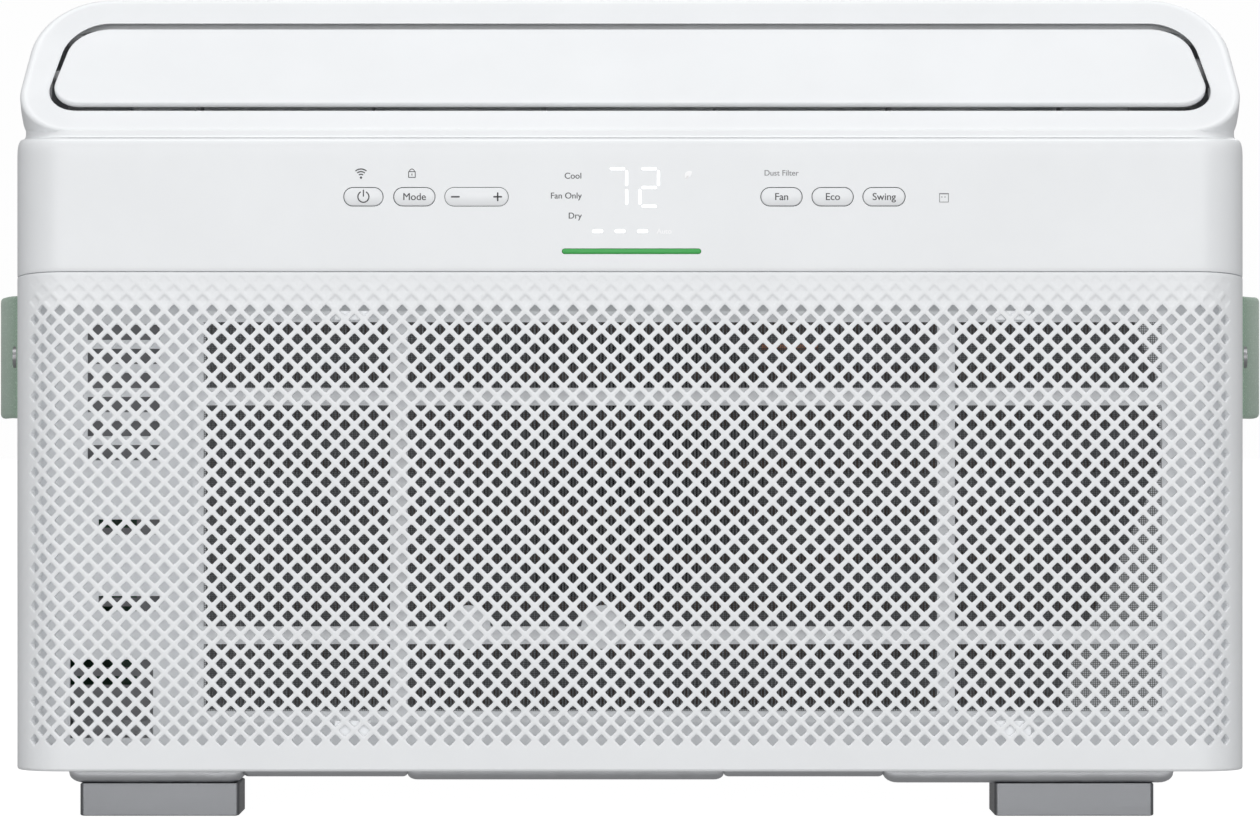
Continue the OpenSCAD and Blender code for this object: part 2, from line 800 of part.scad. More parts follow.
module inverter_board() {
    color(board_green) {
        placed() block([-264, 104, 50], [-218, 105.6, 220]);
        for (z = [70, 100]) placed() translate([-230, 66, z]) rotate([-90, 0, 0])
            cylinder(r = 11, h = 38.2);
        placed() block([-260, 64, 130], [-222, 104.2, 170]);
        placed() block([-258, 84, 180], [-240, 104.2, 210]);
    }
}

module temp_sensor() {
    color(copper) placed() translate([60, 25.2, 215]) rotate([0, 90, 0]) cylinder(r = 1.6, h = 26);
}

module cord_inlet() {
    color(black) placed() translate([0, inlet_d, inlet_z]) rotate([0, 90, 0]) difference() {
        union() {
            translate([0, 0, -half_w - 2.5]) cylinder(r = 12, h = 2.5);
            translate([0, 0, -half_w - 1]) cylinder(r = 8.95, h = 9);
        }
        translate([0, 0, -half_w - 5]) cylinder(r = 4.75, h = 20);
    }
}

// ---------- outdoor side ----------

motor_d = [190, 280];

module fan_motor() {
    color(steel_grey) on_shaft(motor_d[0]) difference() {
        union() {
            cylinder(r = 48, h = motor_d[1] - motor_d[0]);
            translate([0, 0, -6]) cylinder(r = 16, h = 6);
            translate([0, 0, motor_d[1] - motor_d[0]]) cylinder(r = 16, h = 6);
            for (a = [0 : 15 : 345]) rotate(a) translate([47, -1, 12]) cube([4, 2, 66]);
        }
        translate([0, 0, -10]) cylinder(r = shaft_r + 0.05, h = 120);
    }
}

module motor_shaft() {
    color(steel_grey) on_shaft(86) cylinder(r = shaft_r, h = 356);
}

module motor_bracket() {
    color(galvanised) {
        placed() difference() {
            block([shaft_x - 58, motor_d[0] - 10, pan_top], [shaft_x + 58, motor_d[0] - 7, shaft_z + 30]);
            translate([shaft_x, motor_d[0] - 20, shaft_z]) rotate([-90, 0, 0]) cylinder(r = 24, h = 30);
        }
        placed() block([shaft_x - 58, motor_d[0] - 10, pan_top + 0.1],
            [shaft_x + 58, motor_d[1] + 10, pan_top + 3]);
        placed() difference() {
            block([shaft_x - 58, motor_d[1] + 7, pan_top], [shaft_x + 58, motor_d[1] + 10, shaft_z + 30]);
            translate([shaft_x, motor_d[1], shaft_z]) rotate([-90, 0, 0]) cylinder(r = 24, h = 30);
        }
        for (s = [-1, 1], d = [motor_d[0] - 8, motor_d[1] + 0.3])
            on_shaft(d) translate([s * 36, 0, 0]) cylinder(r = 5, h = 7.7);
    }
}

fan_d = 396;
fan_blades = 5;

module condenser_fan() {
    color(black) on_shaft(fan_d) {
        difference() {
            union() {
                cylinder(r = 30, h = 42);
                difference() {
                    translate([0, 0, 14]) cylinder(r = fan_r, h = 14);
                    translate([0, 0, 13]) cylinder(r = fan_r - 2.5, h = 16);
                }
                for (i = [0 : fan_blades - 1]) rotate(i * 360 / fan_blades)
                    intersection() {
                        translate([84, 0, 21]) rotate([28, 0, 0])
                            cube([114, 84, 3], center = true);
                        cylinder(r = fan_r - 1, h = 42);
                    }
            }
            translate([0, 0, -1]) cylinder(r = shaft_r, h = 60);
        }
    }
}

shroud_d = 392;

module fan_shroud() {
    color(pale_grey) {
        on_shaft(shroud_d) difference() {
            cylinder(r = fan_r + 6, h = 58);
            translate([0, 0, -1]) cylinder(r = fan_r + 3.5, h = 60);
        }
        difference() {
            placed() block([-262, 447, pan_top + 0.2], [262, 530, cabinet_top - 6]);
            placed() block([-259.5, 449.5, pan_top + 2.7], [259.5, 540, cabinet_top - 8.5]);
            on_shaft(430) cylinder(r = fan_r + 3.5, h = 40);
        }
    }
}

cond_x = [-250, 250];
cond_d = [534, 572];
cond_z = [24, 338];
cond_fins = 50;
cond_tube_d = [543, 563];
cond_rows = 14;
cond_pitch = 21.2;
cond_tube_z = [46.5, 46.5 + (cond_rows - 1) * cond_pitch];

module condenser_fins() color(fin_alu) fin_pack(cond_x, cond_d, cond_z, cond_fins, 1.4);

module condenser_tubes() {
    color(copper) {
        for (d = cond_tube_d)
            coil_tubes(cond_x[0] - 1, cond_x[1] + 1, d, cond_tube_z[0], cond_pitch, cond_rows, 3.5);
        for (z = cond_tube_z)
            placed() translate([cond_x[1] + 1, (cond_tube_d[0] + cond_tube_d[1]) / 2, z])
                rotate([0, 0, -90]) rotate_extrude(angle = 180)
                    translate([(cond_tube_d[1] - cond_tube_d[0]) / 2, 0]) circle(r = 3.5);
    }
}

shell_r = 54;
shell_z = [52, 226];

// A shallow spherical cap on the compressor's shell.
module dome(rise) {
    ball_r = (shell_r * shell_r + rise * rise) / (2 * rise);
    intersection() {
        cylinder(r = shell_r, h = rise + 1);
        translate([0, 0, rise - ball_r]) sphere(r = ball_r, $fn = 96);
    }
}

module compressor() {
    color(black) placed() translate([compressor_pos[0], compressor_pos[1], 0]) {
        translate([0, 0, shell_z[0]]) cylinder(r = shell_r, h = shell_z[1] - shell_z[0]);
        translate([0, 0, shell_z[1]]) dome(18);
        translate([0, 0, shell_z[0]]) mirror([0, 0, 1]) dome(12);
        translate([0, 0, shell_z[1] + 8]) cylinder(r = 20, h = 26);
        difference() {
            for (a = grommet_angles) rotate(a) translate([30, -14, 34]) cube([48, 28, 3]);
            for (a = grommet_angles) rotate(a) translate([grommet_circle, 0, 30])
                cylinder(r = 8, h = 10);
        }
        translate([0, 0, 34]) cylinder(r = 40, h = 10);
    }
}

module compressor_grommets() {
    color(black) at_grommets(0) difference() {
        union() {
            translate([0, 0, pan_top + 0.1]) cylinder(r = 13, h = 33.9 - pan_top);
            translate([0, 0, 33.9]) cylinder(r = 7.9, h = 3.2);
            translate([0, 0, 37.1]) cylinder(r = 12, h = 2.4);
        }
        cylinder(r = 4, h = 60);
    }
}

module compressor_nuts() {
    color(steel_grey) at_grommets(39.6) difference() {
        cylinder(r = 7.5, h = 5, $fn = 6);
        translate([0, 0, -1]) cylinder(r = 4, h = 4.1);
    }
}

acc_pos = [112, 246];

module accumulator() {
    color(black) placed() {
        translate([acc_pos[0], acc_pos[1], 66]) {
            cylinder(r = 22, h = 110);
            translate([0, 0, 110]) intersection() {
                cylinder(r = 22, h = 22);
                sphere(r = 22);
            }
        }
        block([acc_pos[0] + 18, acc_pos[1] - 4, 116], [acc_pos[0] + 25.5, acc_pos[1] + 4, 130]);
    }
}

module discharge_line() {
    color(copper) placed() pipe([[160, 300, 236.4], [160, 300, 266], [270, 350, 266],
        [270, 553, cond_tube_z[1]], [264.9, 553, cond_tube_z[1]]], 4);
}

module suction_line() {
    color(copper) placed() pipe([[112, 246, 198.3], [112, 246, 240], [232, 160, 200],
        [232, 160, 100], [232, 66, 100], [262, 66, 100], [262, 66, 245.7], [252, 48, 245.7]], 5);
}

module capillary_line() {
    color(copper) placed() pipe([[270, 553, cond_tube_z[0]], [270, 400, 54], [258, 200, 60],
        [232, 160, 60], [232, 66, 60], [252, 46.5, 54]], 2);
}

// ---------- fasteners ----------

module cabinet_screws() {
    color(steel_grey) {
        for (s = [-1, 1], d = [200, 380, 560])
            placed() translate([s * (cabinet_half_w + 1), d, 32]) rotate([0, 90, 0])
                cylinder(r = 4, h = 2, center = true);
        for (s = [-1, 1], z = [60, 190, 320])
            placed() translate([s * 266, unit_d - 2, z]) rotate([-90, 0, 0])
                cylinder(r = 4, h = 2);
        for (s = [-1, 1], e = [-1, 1])
            placed() translate([s * (half_w + handle_t + 1.05), handle_mid + e * handle_foot,
                handle_z]) rotate([0, s * 90, 0]) {
                    translate([0, 0, -1]) cylinder(r = 5, h = 2);
                    translate([0, 0, -7]) cylinder(r = 2.55, h = 6.5);
                }
    }
}

base_pan();
cabinet_wrap();
rear_guard();
front_frame();
control_fascia();
outlet_housing();
front_grille();
filter_frame();
filter_mesh();
handle_left();
handle_right();
foot_front_left();
foot_front_right();
feet_rear();
air_flap();
flap_motor();
vane_1();
vane_2();
vane_3();
vane_4();
vane_5();
vane_6();
vane_link();
swing_motor();
button_power();
button_mode();
button_temperature();
button_fan();
button_eco();
button_swing();
display_window();
led_bar();
display_board();
evaporator_fins();
evaporator_tubes();
condenser_fins();
condenser_tubes();
fan_motor();
motor_bracket();
motor_shaft();
blower_wheel();
blower_scroll();
condenser_fan();
fan_shroud();
bulkhead();
compressor();
compressor_grommets();
accumulator();
discharge_line();
suction_line();
capillary_line();
control_box();
inverter_board();
box_cover();
temp_sensor();
drain_plug();
cord_inlet();
drip_tray();
cabinet_screws();
compressor_nuts();
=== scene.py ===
import json
import math

import bmesh
import bpy
import numpy as np
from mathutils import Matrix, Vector


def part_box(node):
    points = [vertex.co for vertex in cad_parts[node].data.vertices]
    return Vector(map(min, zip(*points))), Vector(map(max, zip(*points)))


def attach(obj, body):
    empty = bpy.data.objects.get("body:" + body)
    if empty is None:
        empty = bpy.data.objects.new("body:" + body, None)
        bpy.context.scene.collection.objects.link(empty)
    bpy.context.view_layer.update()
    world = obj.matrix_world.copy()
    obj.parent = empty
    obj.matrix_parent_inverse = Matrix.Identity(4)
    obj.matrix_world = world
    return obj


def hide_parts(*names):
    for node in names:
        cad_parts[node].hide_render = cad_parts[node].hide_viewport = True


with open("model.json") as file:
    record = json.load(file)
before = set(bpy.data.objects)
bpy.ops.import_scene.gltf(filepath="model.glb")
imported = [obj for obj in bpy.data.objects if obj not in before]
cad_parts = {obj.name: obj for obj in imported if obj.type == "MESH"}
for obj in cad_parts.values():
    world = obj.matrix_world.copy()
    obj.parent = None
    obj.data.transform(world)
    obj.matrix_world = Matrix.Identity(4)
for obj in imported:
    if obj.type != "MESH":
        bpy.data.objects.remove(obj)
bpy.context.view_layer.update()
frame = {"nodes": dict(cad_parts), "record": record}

MM = 0.001
FRONT_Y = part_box("front_grille")[0].y
HALF_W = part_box("control_fascia")[1].x / MM
nodes = frame["nodes"]
scene = bpy.context.scene
CHASSIS = "chassis"

# ---------- points and paths, in millimetres: x, distance behind the front face, height ----------

CORNER = 23.0
SEAM_Z, SEAM_FALL = 248.7, math.tan(math.radians(6.5))
MOUTH_D, MOUTH_Z = 30.3, 344.0
ROOT = math.sqrt(0.5)


def metres(points):
    """Points measured from the front face, as metres in the shared frame."""
    p = np.asarray(points, float).reshape(-1, 3) * MM
    p[:, 1] += FRONT_Y
    return p


def at_mouth(points):
    """Points (x, v up the slope, w out of the mouth) to x, distance, height."""
    p = np.asarray(points, float).reshape(-1, 3)
    return np.column_stack([p[:, 0], MOUTH_D + ROOT * (p[:, 1] - p[:, 2]),
                            MOUTH_Z + ROOT * (p[:, 1] + p[:, 2])])


def round_front(s, n, half=HALF_W, corner=CORNER, start=0.0):
    """A place s along the front's plan outline from its middle, n inside it, as (x, distance)."""
    s, n = np.asarray(s, float), np.asarray(n, float)
    flat, arc = half - corner, corner * math.pi / 2
    a = np.abs(s)
    turn = np.clip((a - flat) / corner, 0, math.pi / 2)
    side = np.maximum(a - flat - arc, 0)
    x = np.minimum(a, flat) + (corner - n) * np.sin(turn)
    d = corner - (corner - n) * np.cos(turn) + side
    return np.sign(s) * x, d + start


def stations(flat, corner, side, bends=14, steps=24):
    """Places along the outline, close together in the bends."""
    half = list(np.linspace(0, flat, steps))
    half += list(np.linspace(flat, flat + corner * math.pi / 2, bends + 1)[1:])
    half += list(np.linspace(flat + corner * math.pi / 2, flat + corner * math.pi / 2 + side, 5)[1:])
    return np.array([-s for s in half[:0:-1]] + half)


def outline(half, low, high, r_low, r_high, slant):
    """A rounded shape, wider below, as points (x, v) with the same count in every outline."""
    c1 = np.array([half - r_low, low + r_low])
    c2 = np.array([half - slant - r_high, high - r_high])
    gap = c2 - c1
    tilt = math.atan2(gap[1], gap[0]) - math.acos((r_low - r_high) / np.hypot(*gap))
    right = [c1 + r_low * np.array([math.cos(t), math.sin(t)]) for t in np.linspace(-math.pi / 2, tilt, 15)]
    up = [c2 + r_high * np.array([math.cos(t), math.sin(t)]) for t in np.linspace(tilt, math.pi / 2, 21)]
    side = [right[-1] + (up[0] - right[-1]) * t for t in np.linspace(0, 1, 7)[1:-1]]
    right += side + up
    floor = [np.array([x, low]) for x in np.linspace(-c1[0], c1[0], 30)[1:-1]]
    roof = [np.array([x, high]) for x in np.linspace(c2[0], -c2[0], 30)[1:-1]]
    left = [np.array([-p[0], p[1]]) for p in reversed(right)]
    return np.array(floor + right + roof + left)


# ---------- making pieces ----------


def clean(mesh):
    """Joins points that meet, and turns every face outwards."""
    bm = bmesh.new()
    bm.from_mesh(mesh)
    bmesh.ops.remove_doubles(bm, verts=bm.verts, dist=1e-6)
    bmesh.ops.recalc_face_normals(bm, faces=bm.faces)
    bm.to_mesh(mesh)
    bm.free()


def raw_mesh(name, verts, faces):
    mesh = bpy.data.meshes.new(name)
    mesh.from_pydata([tuple(v) for v in verts], [], [tuple(int(i) for i in f) for f in faces])
    return mesh


def dress(name, mesh, body, mat, stands=None, smooth=32):
    """A new piece from a mesh, on its body. stands names the CAD node that it replaces."""
    clean(mesh)
    mesh.materials.clear()
    mesh.materials.append(mat)
    mesh.shade_smooth()
    mesh.set_sharp_from_angle(angle=math.radians(smooth))
    obj = bpy.data.objects.new(name, mesh)
    scene.collection.objects.link(obj)
    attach(obj, body)
    if stands:
        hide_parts(stands)


def add(name, shape, body, mat, stands=None, smooth=32):
    """A new piece from a (verts, faces) in millimetres."""
    verts, faces = shape
    dress(name, raw_mesh(name, metres(verts), faces), body, mat, stands, smooth)


def soften(obj, width):
    """Rounded edges for a CAD node."""
    obj.modifiers.new("weld", "WELD").merge_threshold = 2e-6
    m = obj.modifiers.new("edges", "BEVEL")
    m.width, m.segments, m.limit_method = width * MM, 3, "ANGLE"
    m.angle_limit = math.radians(40)
    m.harden_normals = True


def ring_faces(rows, cols, closed=False):
    """Faces between rings of points. closed joins the last ring to the first."""
    out = []
    for i in range(rows if closed else rows - 1):
        for j in range(cols):
            a, b = i * cols + j, i * cols + (j + 1) % cols
            c, d = ((i + 1) % rows) * cols + (j + 1) % cols, ((i + 1) % rows) * cols + j
            out.append((a, b, c, d))
    return out


def stack(curves, closed=False):
    """Skin over closed curves of equal count, with flat ends. closed joins the last to the first instead."""
    n, m = len(curves), len(curves[0])
    faces = ring_faces(n, m, closed)
    if not closed:
        faces.append(tuple(range(m))[::-1])
        faces.append(tuple(range((n - 1) * m, n * m)))
    return np.vstack(curves), faces


def gather(parts):
    """Several (verts, faces) as one."""
    verts, faces, base = [], [], 0
    for v, f in parts:
        verts.append(np.asarray(v, float).reshape(-1, 3))
        faces += [tuple(i + base for i in face) for face in f]
        base += len(verts[-1])
    return np.vstack(verts), faces


def evaluated(obj):
    """The mesh of an object with its modifiers or its curve worked out."""
    bpy.context.view_layer.update()
    return bpy.data.meshes.new_from_object(obj.evaluated_get(bpy.context.evaluated_depsgraph_get()))


def cut(base, tools):
    """base less each of the tools, all as (verts, faces) in millimetres, as a mesh."""
    made = []
    for verts, faces in [base, *tools]:
        mesh = raw_mesh("tool", metres(verts), faces)
        clean(mesh)
        made.append(bpy.data.objects.new("tool", mesh))
        scene.collection.objects.link(made[-1])
    for tool in made[1:]:
        m = made[0].modifiers.new("cut", "BOOLEAN")
        m.operation, m.solver, m.object = "DIFFERENCE", "EXACT", tool
    mesh = evaluated(made[0])
    for obj in made:
        bpy.data.objects.remove(obj)
    return mesh


def pill(x, z, w, h, grow, n):
    """A bar with round ends, larger by grow all round, as points (x, z)."""
    r = h / 2 + grow
    pts = []
    for sign, start in ((1, -90), (-1, 90)):
        for a in np.radians(np.linspace(start, start + 180, n)):
            pts.append((x + sign * (w - h) / 2 + r * math.cos(a), z + r * math.sin(a)))
    return pts


def plate(points, d0, d1, edge=0.0):
    """A flat piece from an outline (x, z), its front at d0, with a rounded front edge."""
    p = np.array(points)
    mid = p.mean(0)
    curves = []
    rings = [(edge, 0), (edge * 0.3, edge * 0.3), (0, edge)] if edge else [(0, 0)]
    nrm = np.roll(p, -1, 0) - np.roll(p, 1, 0)
    nrm = np.column_stack([nrm[:, 1], -nrm[:, 0]])
    nrm /= np.linalg.norm(nrm, axis=1)[:, None]
    if ((p - mid) * nrm).sum() < 0:
        nrm = -nrm
    for inset, depth in rings + [(0, d1 - d0)]:
        q = p - nrm * inset
        curves.append(np.column_stack([q[:, 0], np.full(len(q), d0 + depth), q[:, 1]]))
    return stack(curves)


# ---------- materials ----------


class Nodes:
    """Short names for building a node tree."""

    def __init__(self, name):
        self.mat = bpy.data.materials.new(name)
        self.mat.use_nodes = True
        self.tree = self.mat.node_tree
        self.out = self.tree.nodes["Material Output"]
        self.bsdf = self.tree.nodes["Principled BSDF"]
        self.coords = self.add("ShaderNodeTexCoord").outputs["Object"]

    def add(self, kind, **values):
        node = self.tree.nodes.new(kind)
        for k, v in values.items():
            if hasattr(node, k):
                setattr(node, k, v)
            else:
                node.inputs[k.replace("_", " ")].default_value = v
        return node

    def link(self, a, b):
        self.tree.links.new(a, b)

    def stretched(self, scale):
        m = self.add("ShaderNodeMapping")
        m.inputs["Scale"].default_value = scale
        self.link(self.coords, m.inputs["Vector"])
        return m.outputs["Vector"]

    def noise(self, scale, detail=3.0, vector=None):
        n = self.add("ShaderNodeTexNoise", Scale=scale, Detail=detail, Roughness=0.55)
        self.link(vector or self.coords, n.inputs["Vector"])
        return n.outputs["Fac"]

    def span(self, value, low, high, src=(0.3, 0.7)):
        r = self.add("ShaderNodeMapRange")
        for k, v in zip(("From Min", "From Max", "To Min", "To Max"), (*src, low, high)):
            r.inputs[k].default_value = v
        self.link(value, r.inputs["Value"])
        return r.outputs["Result"]

    def blend(self, fac, a, b):
        m = self.add("ShaderNodeMix", data_type="RGBA")
        for socket, v in (("A", a), ("B", b)):
            target = [i for i in m.inputs if i.name == socket and i.type == "RGBA"][0]
            if isinstance(v, tuple):
                target.default_value = (*v, 1)
            else:
                self.link(v, target)
        self.link(fac, m.inputs["Factor"])
        return [o for o in m.outputs if o.type == "RGBA"][0]

    def math(self, op, a, b):
        m = self.add("ShaderNodeMath", operation=op)
        for i, v in enumerate((a, b)):
            if isinstance(v, (int, float)):
                m.inputs[i].default_value = v
            else:
                self.link(v, m.inputs[i])
        return m.outputs[0]

    def bump(self, height, strength, distance):
        b = self.add("ShaderNodeBump", Strength=strength, Distance=distance)
        self.link(height, b.inputs["Height"])
        self.link(b.outputs["Normal"], self.bsdf.inputs["Normal"])

    def base(self, source):
        if isinstance(source, tuple):
            self.bsdf.inputs["Base Color"].default_value = (*source, 1)
        else:
            self.link(source, self.bsdf.inputs["Base Color"])


def shade(color, k):
    return tuple(min(1.0, c * k) for c in color)


def moulded(name, color, rough, grain=1400, depth=0.25, tone=0.015, glow=None):
    """Moulded plastic, paint or rubber: fine grain in the gloss and surface, and a faint drift of colour."""
    m = Nodes(name)
    m.base(m.blend(m.span(m.noise(22), 0, 1), shade(color, 1 - tone), shade(color, 1 + tone)))
    m.link(m.span(m.noise(grain * 0.4), rough - 0.04, rough + 0.04), m.bsdf.inputs["Roughness"])
    m.bump(m.noise(grain, 2), depth, 0.00004)
    if glow:
        m.bsdf.inputs["Emission Color"].default_value = (*glow[:3], 1)
        m.bsdf.inputs["Emission Strength"].default_value = glow[3]
    return m.mat


def metal(name, color, rough, stretch=(4, 220, 220), depth=0.15, tone=0.12, spangle=0, lift=0.0):
    """Bare metal with a drawn or brushed grain, or zinc spangle. lift makes it glow faintly in its own
    colour: painted light, as it is no lamp.
    """
    m = Nodes(name)
    lines = m.noise(9, 6, m.stretched(stretch))
    if spangle:
        v = m.add("ShaderNodeTexVoronoi", Scale=spangle)
        m.link(m.coords, v.inputs["Vector"])
        lines = m.math("MULTIPLY", m.math("ADD", v.outputs["Color"], lines), 0.5)
    patch = m.noise(14, 4)
    m.base(m.blend(m.math("MULTIPLY", m.math("ADD", lines, patch), 0.5), shade(color, 1 - tone),
                   shade(color, 1 + tone)))
    m.link(m.span(lines, rough - 0.08, rough + 0.1), m.bsdf.inputs["Roughness"])
    m.bsdf.inputs["Metallic"].default_value = 1.0
    # lift: a faint glow in the metal's own colour, painted light on a part that is no lamp.
    if lift:
        m.bsdf.inputs["Emission Color"].default_value = (*color, 1)
        m.bsdf.inputs["Emission Strength"].default_value = lift
    m.bump(lines, depth, 0.00005)
    return m.mat


WEAVE = 0.0016


def webbing(name, painted_shade_tone, mid, pale):
    """A woven band: crossing threads, flecked, on a band that runs along y. Where the weave sits low the
    threads are painted darker: painted shade between the threads.
    """
    m = Nodes(name)
    waves = []
    for axis, off in (("Y", 0), ("Z", math.pi)):
        w = m.add("ShaderNodeTexWave", wave_type="BANDS", bands_direction=axis, Scale=1 / WEAVE / 3.2,
                  Distortion=0.6, Detail=1.0)
        w.inputs["Phase Offset"].default_value = off
        w.inputs["Detail Scale"].default_value = 2.0
        m.link(m.coords, w.inputs["Vector"])
        waves.append(w.outputs["Fac"])
    over = m.math("MULTIPLY", waves[0], waves[1])
    height = m.math("MAXIMUM", over, m.math("MULTIPLY", m.math("SUBTRACT", 1.0, waves[0]),
                                            m.math("SUBTRACT", 1.0, waves[1])))
    flecks = m.span(m.noise(900, 3), 0, 0.8, (0.56, 0.8))
    # The threads take the darker colour where the weave sits low: painted shade in its hollows.
    weave_with_painted_shade = m.blend(height, painted_shade_tone, mid)
    m.base(m.blend(flecks, weave_with_painted_shade, pale))
    m.bsdf.inputs["Roughness"].default_value = 0.85
    m.bsdf.inputs["Sheen Weight"].default_value = 0.35
    m.bsdf.inputs["Sheen Roughness"].default_value = 0.5
    m.bump(m.math("ADD", height, m.math("MULTIPLY", m.noise(2600, 2), 0.5)), 0.6, 0.00025)
    return m.mat


WHITE = moulded("satin_white", (0.83, 0.845, 0.86), 0.36)
GRILLE = moulded("grille_white", (0.83, 0.845, 0.86), 0.42)
GREY = moulded("pale_grey_moulding", (0.84, 0.85, 0.865), 0.48, tone=0.03)
PAINT = moulded("powder_coat", (0.72, 0.73, 0.74), 0.4, 900, 0.5, 0.02)
BLACK = moulded("black_moulding", (0.022, 0.022, 0.025), 0.45, tone=0.1)
SHELL = moulded("black_enamel", (0.012, 0.012, 0.014), 0.28, 300, 0.3, 0.1)
RUBBER = moulded("black_rubber", (0.02, 0.02, 0.02), 0.75, 700, 0.6, 0.15)
# The frames glow faintly in their own colour though they are no lamp: painted light, so that they read bright
# behind the grille's holes.
FRAME_PAINTED_GLOW = moulded("frame_white_painted_glow", (0.84, 0.85, 0.865), 0.48, tone=0.02, glow=(0.8, 0.82, 0.84, 0.15))
DARK = moulded("graphite_moulding", (0.24, 0.24, 0.25), 0.5, tone=0.1)
THREAD = moulded("sewing_thread", (0.20, 0.30, 0.22), 0.8, tone=0.2)
BOARD = moulded("solder_mask", (0.02, 0.16, 0.07), 0.3, 500, 0.6, 0.12)
LENS = moulded("display_lens", (0.8, 0.83, 0.86), 0.15, tone=0.01)
LED = moulded("green_light", (0.03, 0.30, 0.055), 0.4, 1400, 0.1, 0.01, glow=(0.03, 0.36, 0.065, 0.2))
GLOW = moulded("white_light", (1.0, 1.0, 1.0), 0.5, 1400, 0.05, 0.0, glow=(1, 1, 1, 0.9))
FAINT = moulded("white_print", (0.95, 0.95, 0.96), 0.5, glow=(1, 1, 1, 0.06))
INK = moulded("grey_print", (0.06, 0.06, 0.065), 0.5)
PALE_INK = moulded("light_grey_print", (0.22, 0.22, 0.23), 0.5)
NET = moulded("filter_thread", (0.17, 0.172, 0.176), 0.6, tone=0.2)
GALV = metal("galvanised", (0.68, 0.69, 0.71), 0.36, (30, 30, 30), 0.04, 0.06, spangle=160)
FOOT = metal("brushed_foot", (0.215, 0.22, 0.23), 0.36, (6, 6, 420), 0.25, 0.16)
STEEL = metal("satin_steel", (0.55, 0.56, 0.58), 0.3)
SCREW = metal("zinc_screw", (0.36, 0.36, 0.37), 0.45, (60, 60, 60))
COPPER = metal("drawn_copper", (0.78, 0.36, 0.22), 0.3, (30, 30, 30), 0.1, 0.2)
AGED = metal("aged_copper", (0.34, 0.24, 0.19), 0.45, (30, 30, 30), 0.1, 0.2)
# The fin packs glow faintly through lift: painted light, so that the fins behind the grille read lighter.
FIN = metal("fin_foil_painted_glow", (0.44, 0.45, 0.47), 0.5, (30, 4, 200), 0.1, 0.2, lift=0.07)
# The first colour is the painted shade in the weave's low places, the second the threads' own green, the
# third the flecks.
SAGE = webbing("sage_webbing", (0.21, 0.31, 0.235), (0.355, 0.515, 0.39), (0.60, 0.74, 0.62))

# ---------- camera, light and floor ----------

cam = bpy.data.objects.new("camera", bpy.data.cameras.new("camera"))
scene.collection.objects.link(cam)
scene.camera = cam
EYE_HEIGHT, EYE_BACK = 0.186, 2.8
cam.location = (0, FRONT_Y - EYE_BACK, EYE_HEIGHT)
cam.rotation_euler = (math.pi / 2, 0, 0)
cam.data.sensor_width, cam.data.lens = 36, 176.4
cam.data.clip_start, cam.data.clip_end = 0.05, 60
scene.view_settings.view_transform = "Standard"

world = bpy.data.worlds.new("studio")
scene.world = world
world.use_nodes = True
wt = world.node_tree
back = wt.nodes["Background"]
SKY = 0.36
back.inputs["Color"].default_value = (0.985, 0.99, 1.0, 1)
back.inputs["Strength"].default_value = SKY
seen = wt.nodes.new("ShaderNodeBackground")
seen.inputs["Color"].default_value = (0.99, 0.99, 0.99, 1)
path = wt.nodes.new("ShaderNodeLightPath")
both = wt.nodes.new("ShaderNodeMixShader")
wt.links.new(path.outputs["Is Camera Ray"], both.inputs["Fac"])
wt.links.new(back.outputs[0], both.inputs[1])
wt.links.new(seen.outputs[0], both.inputs[2])
wt.links.new(both.outputs[0], wt.nodes["World Output"].inputs["Surface"])


def softbox(name, place, aim, size, power):
    """A studio light that the camera doesn't see."""
    light = bpy.data.lights.new(name, "AREA")
    light.shape, light.size, light.size_y, light.energy = "RECTANGLE", *size, power
    obj = bpy.data.objects.new(name, light)
    obj.location = place
    obj.rotation_euler = (Vector(aim) - Vector(place)).to_track_quat("-Z", "Y").to_euler()
    obj.visible_camera = False
    scene.collection.objects.link(obj)


softbox("key", (0.0, -1.45, 3.4), (0, -0.2, 0.25), (3.2, 1.6), 60)
softbox("front_fill", (0.0, -4.0, 0.5), (0, 0, 0.2), (4.4, 1.4), 73)
softbox("rear_fill", (0.8, 3.2, 2.4), (0, 0.2, 0.2), (3.0, 2.0), 45)

FLOOR_HALF, FLOOR_Z, FLOOR_TONE, FLOOR_SEEN = 20, -0.0002, 0.22, 0.97
floor_mesh = bpy.data.meshes.new("floor")
floor_corners = ((-1, -1), (1, -1), (1, 1), (-1, 1))
floor_mesh.from_pydata([(FLOOR_HALF * i, FLOOR_HALF * j, FLOOR_Z) for i, j in floor_corners], [],
                       [(0, 1, 2, 3)])
floor = bpy.data.objects.new("floor", floor_mesh)
scene.collection.objects.link(floor)
pale = Nodes("pale_floor")
pale.base((FLOOR_TONE,) * 3)
pale.bsdf.inputs["Roughness"].default_value = 0.9
pale.bsdf.inputs["Specular IOR Level"].default_value = 0.0
pale.bsdf.inputs["Emission Color"].default_value = (1, 1, 1, 1)
seen_ray = pale.add("ShaderNodeLightPath").outputs["Is Camera Ray"]
pale.link(pale.span(seen_ray, FLOOR_TONE, FLOOR_SEEN, (0, 1)), pale.bsdf.inputs["Emission Strength"])
floor_mesh.materials.append(pale.mat)

# ---------- CAD nodes that stay, by material slot ----------

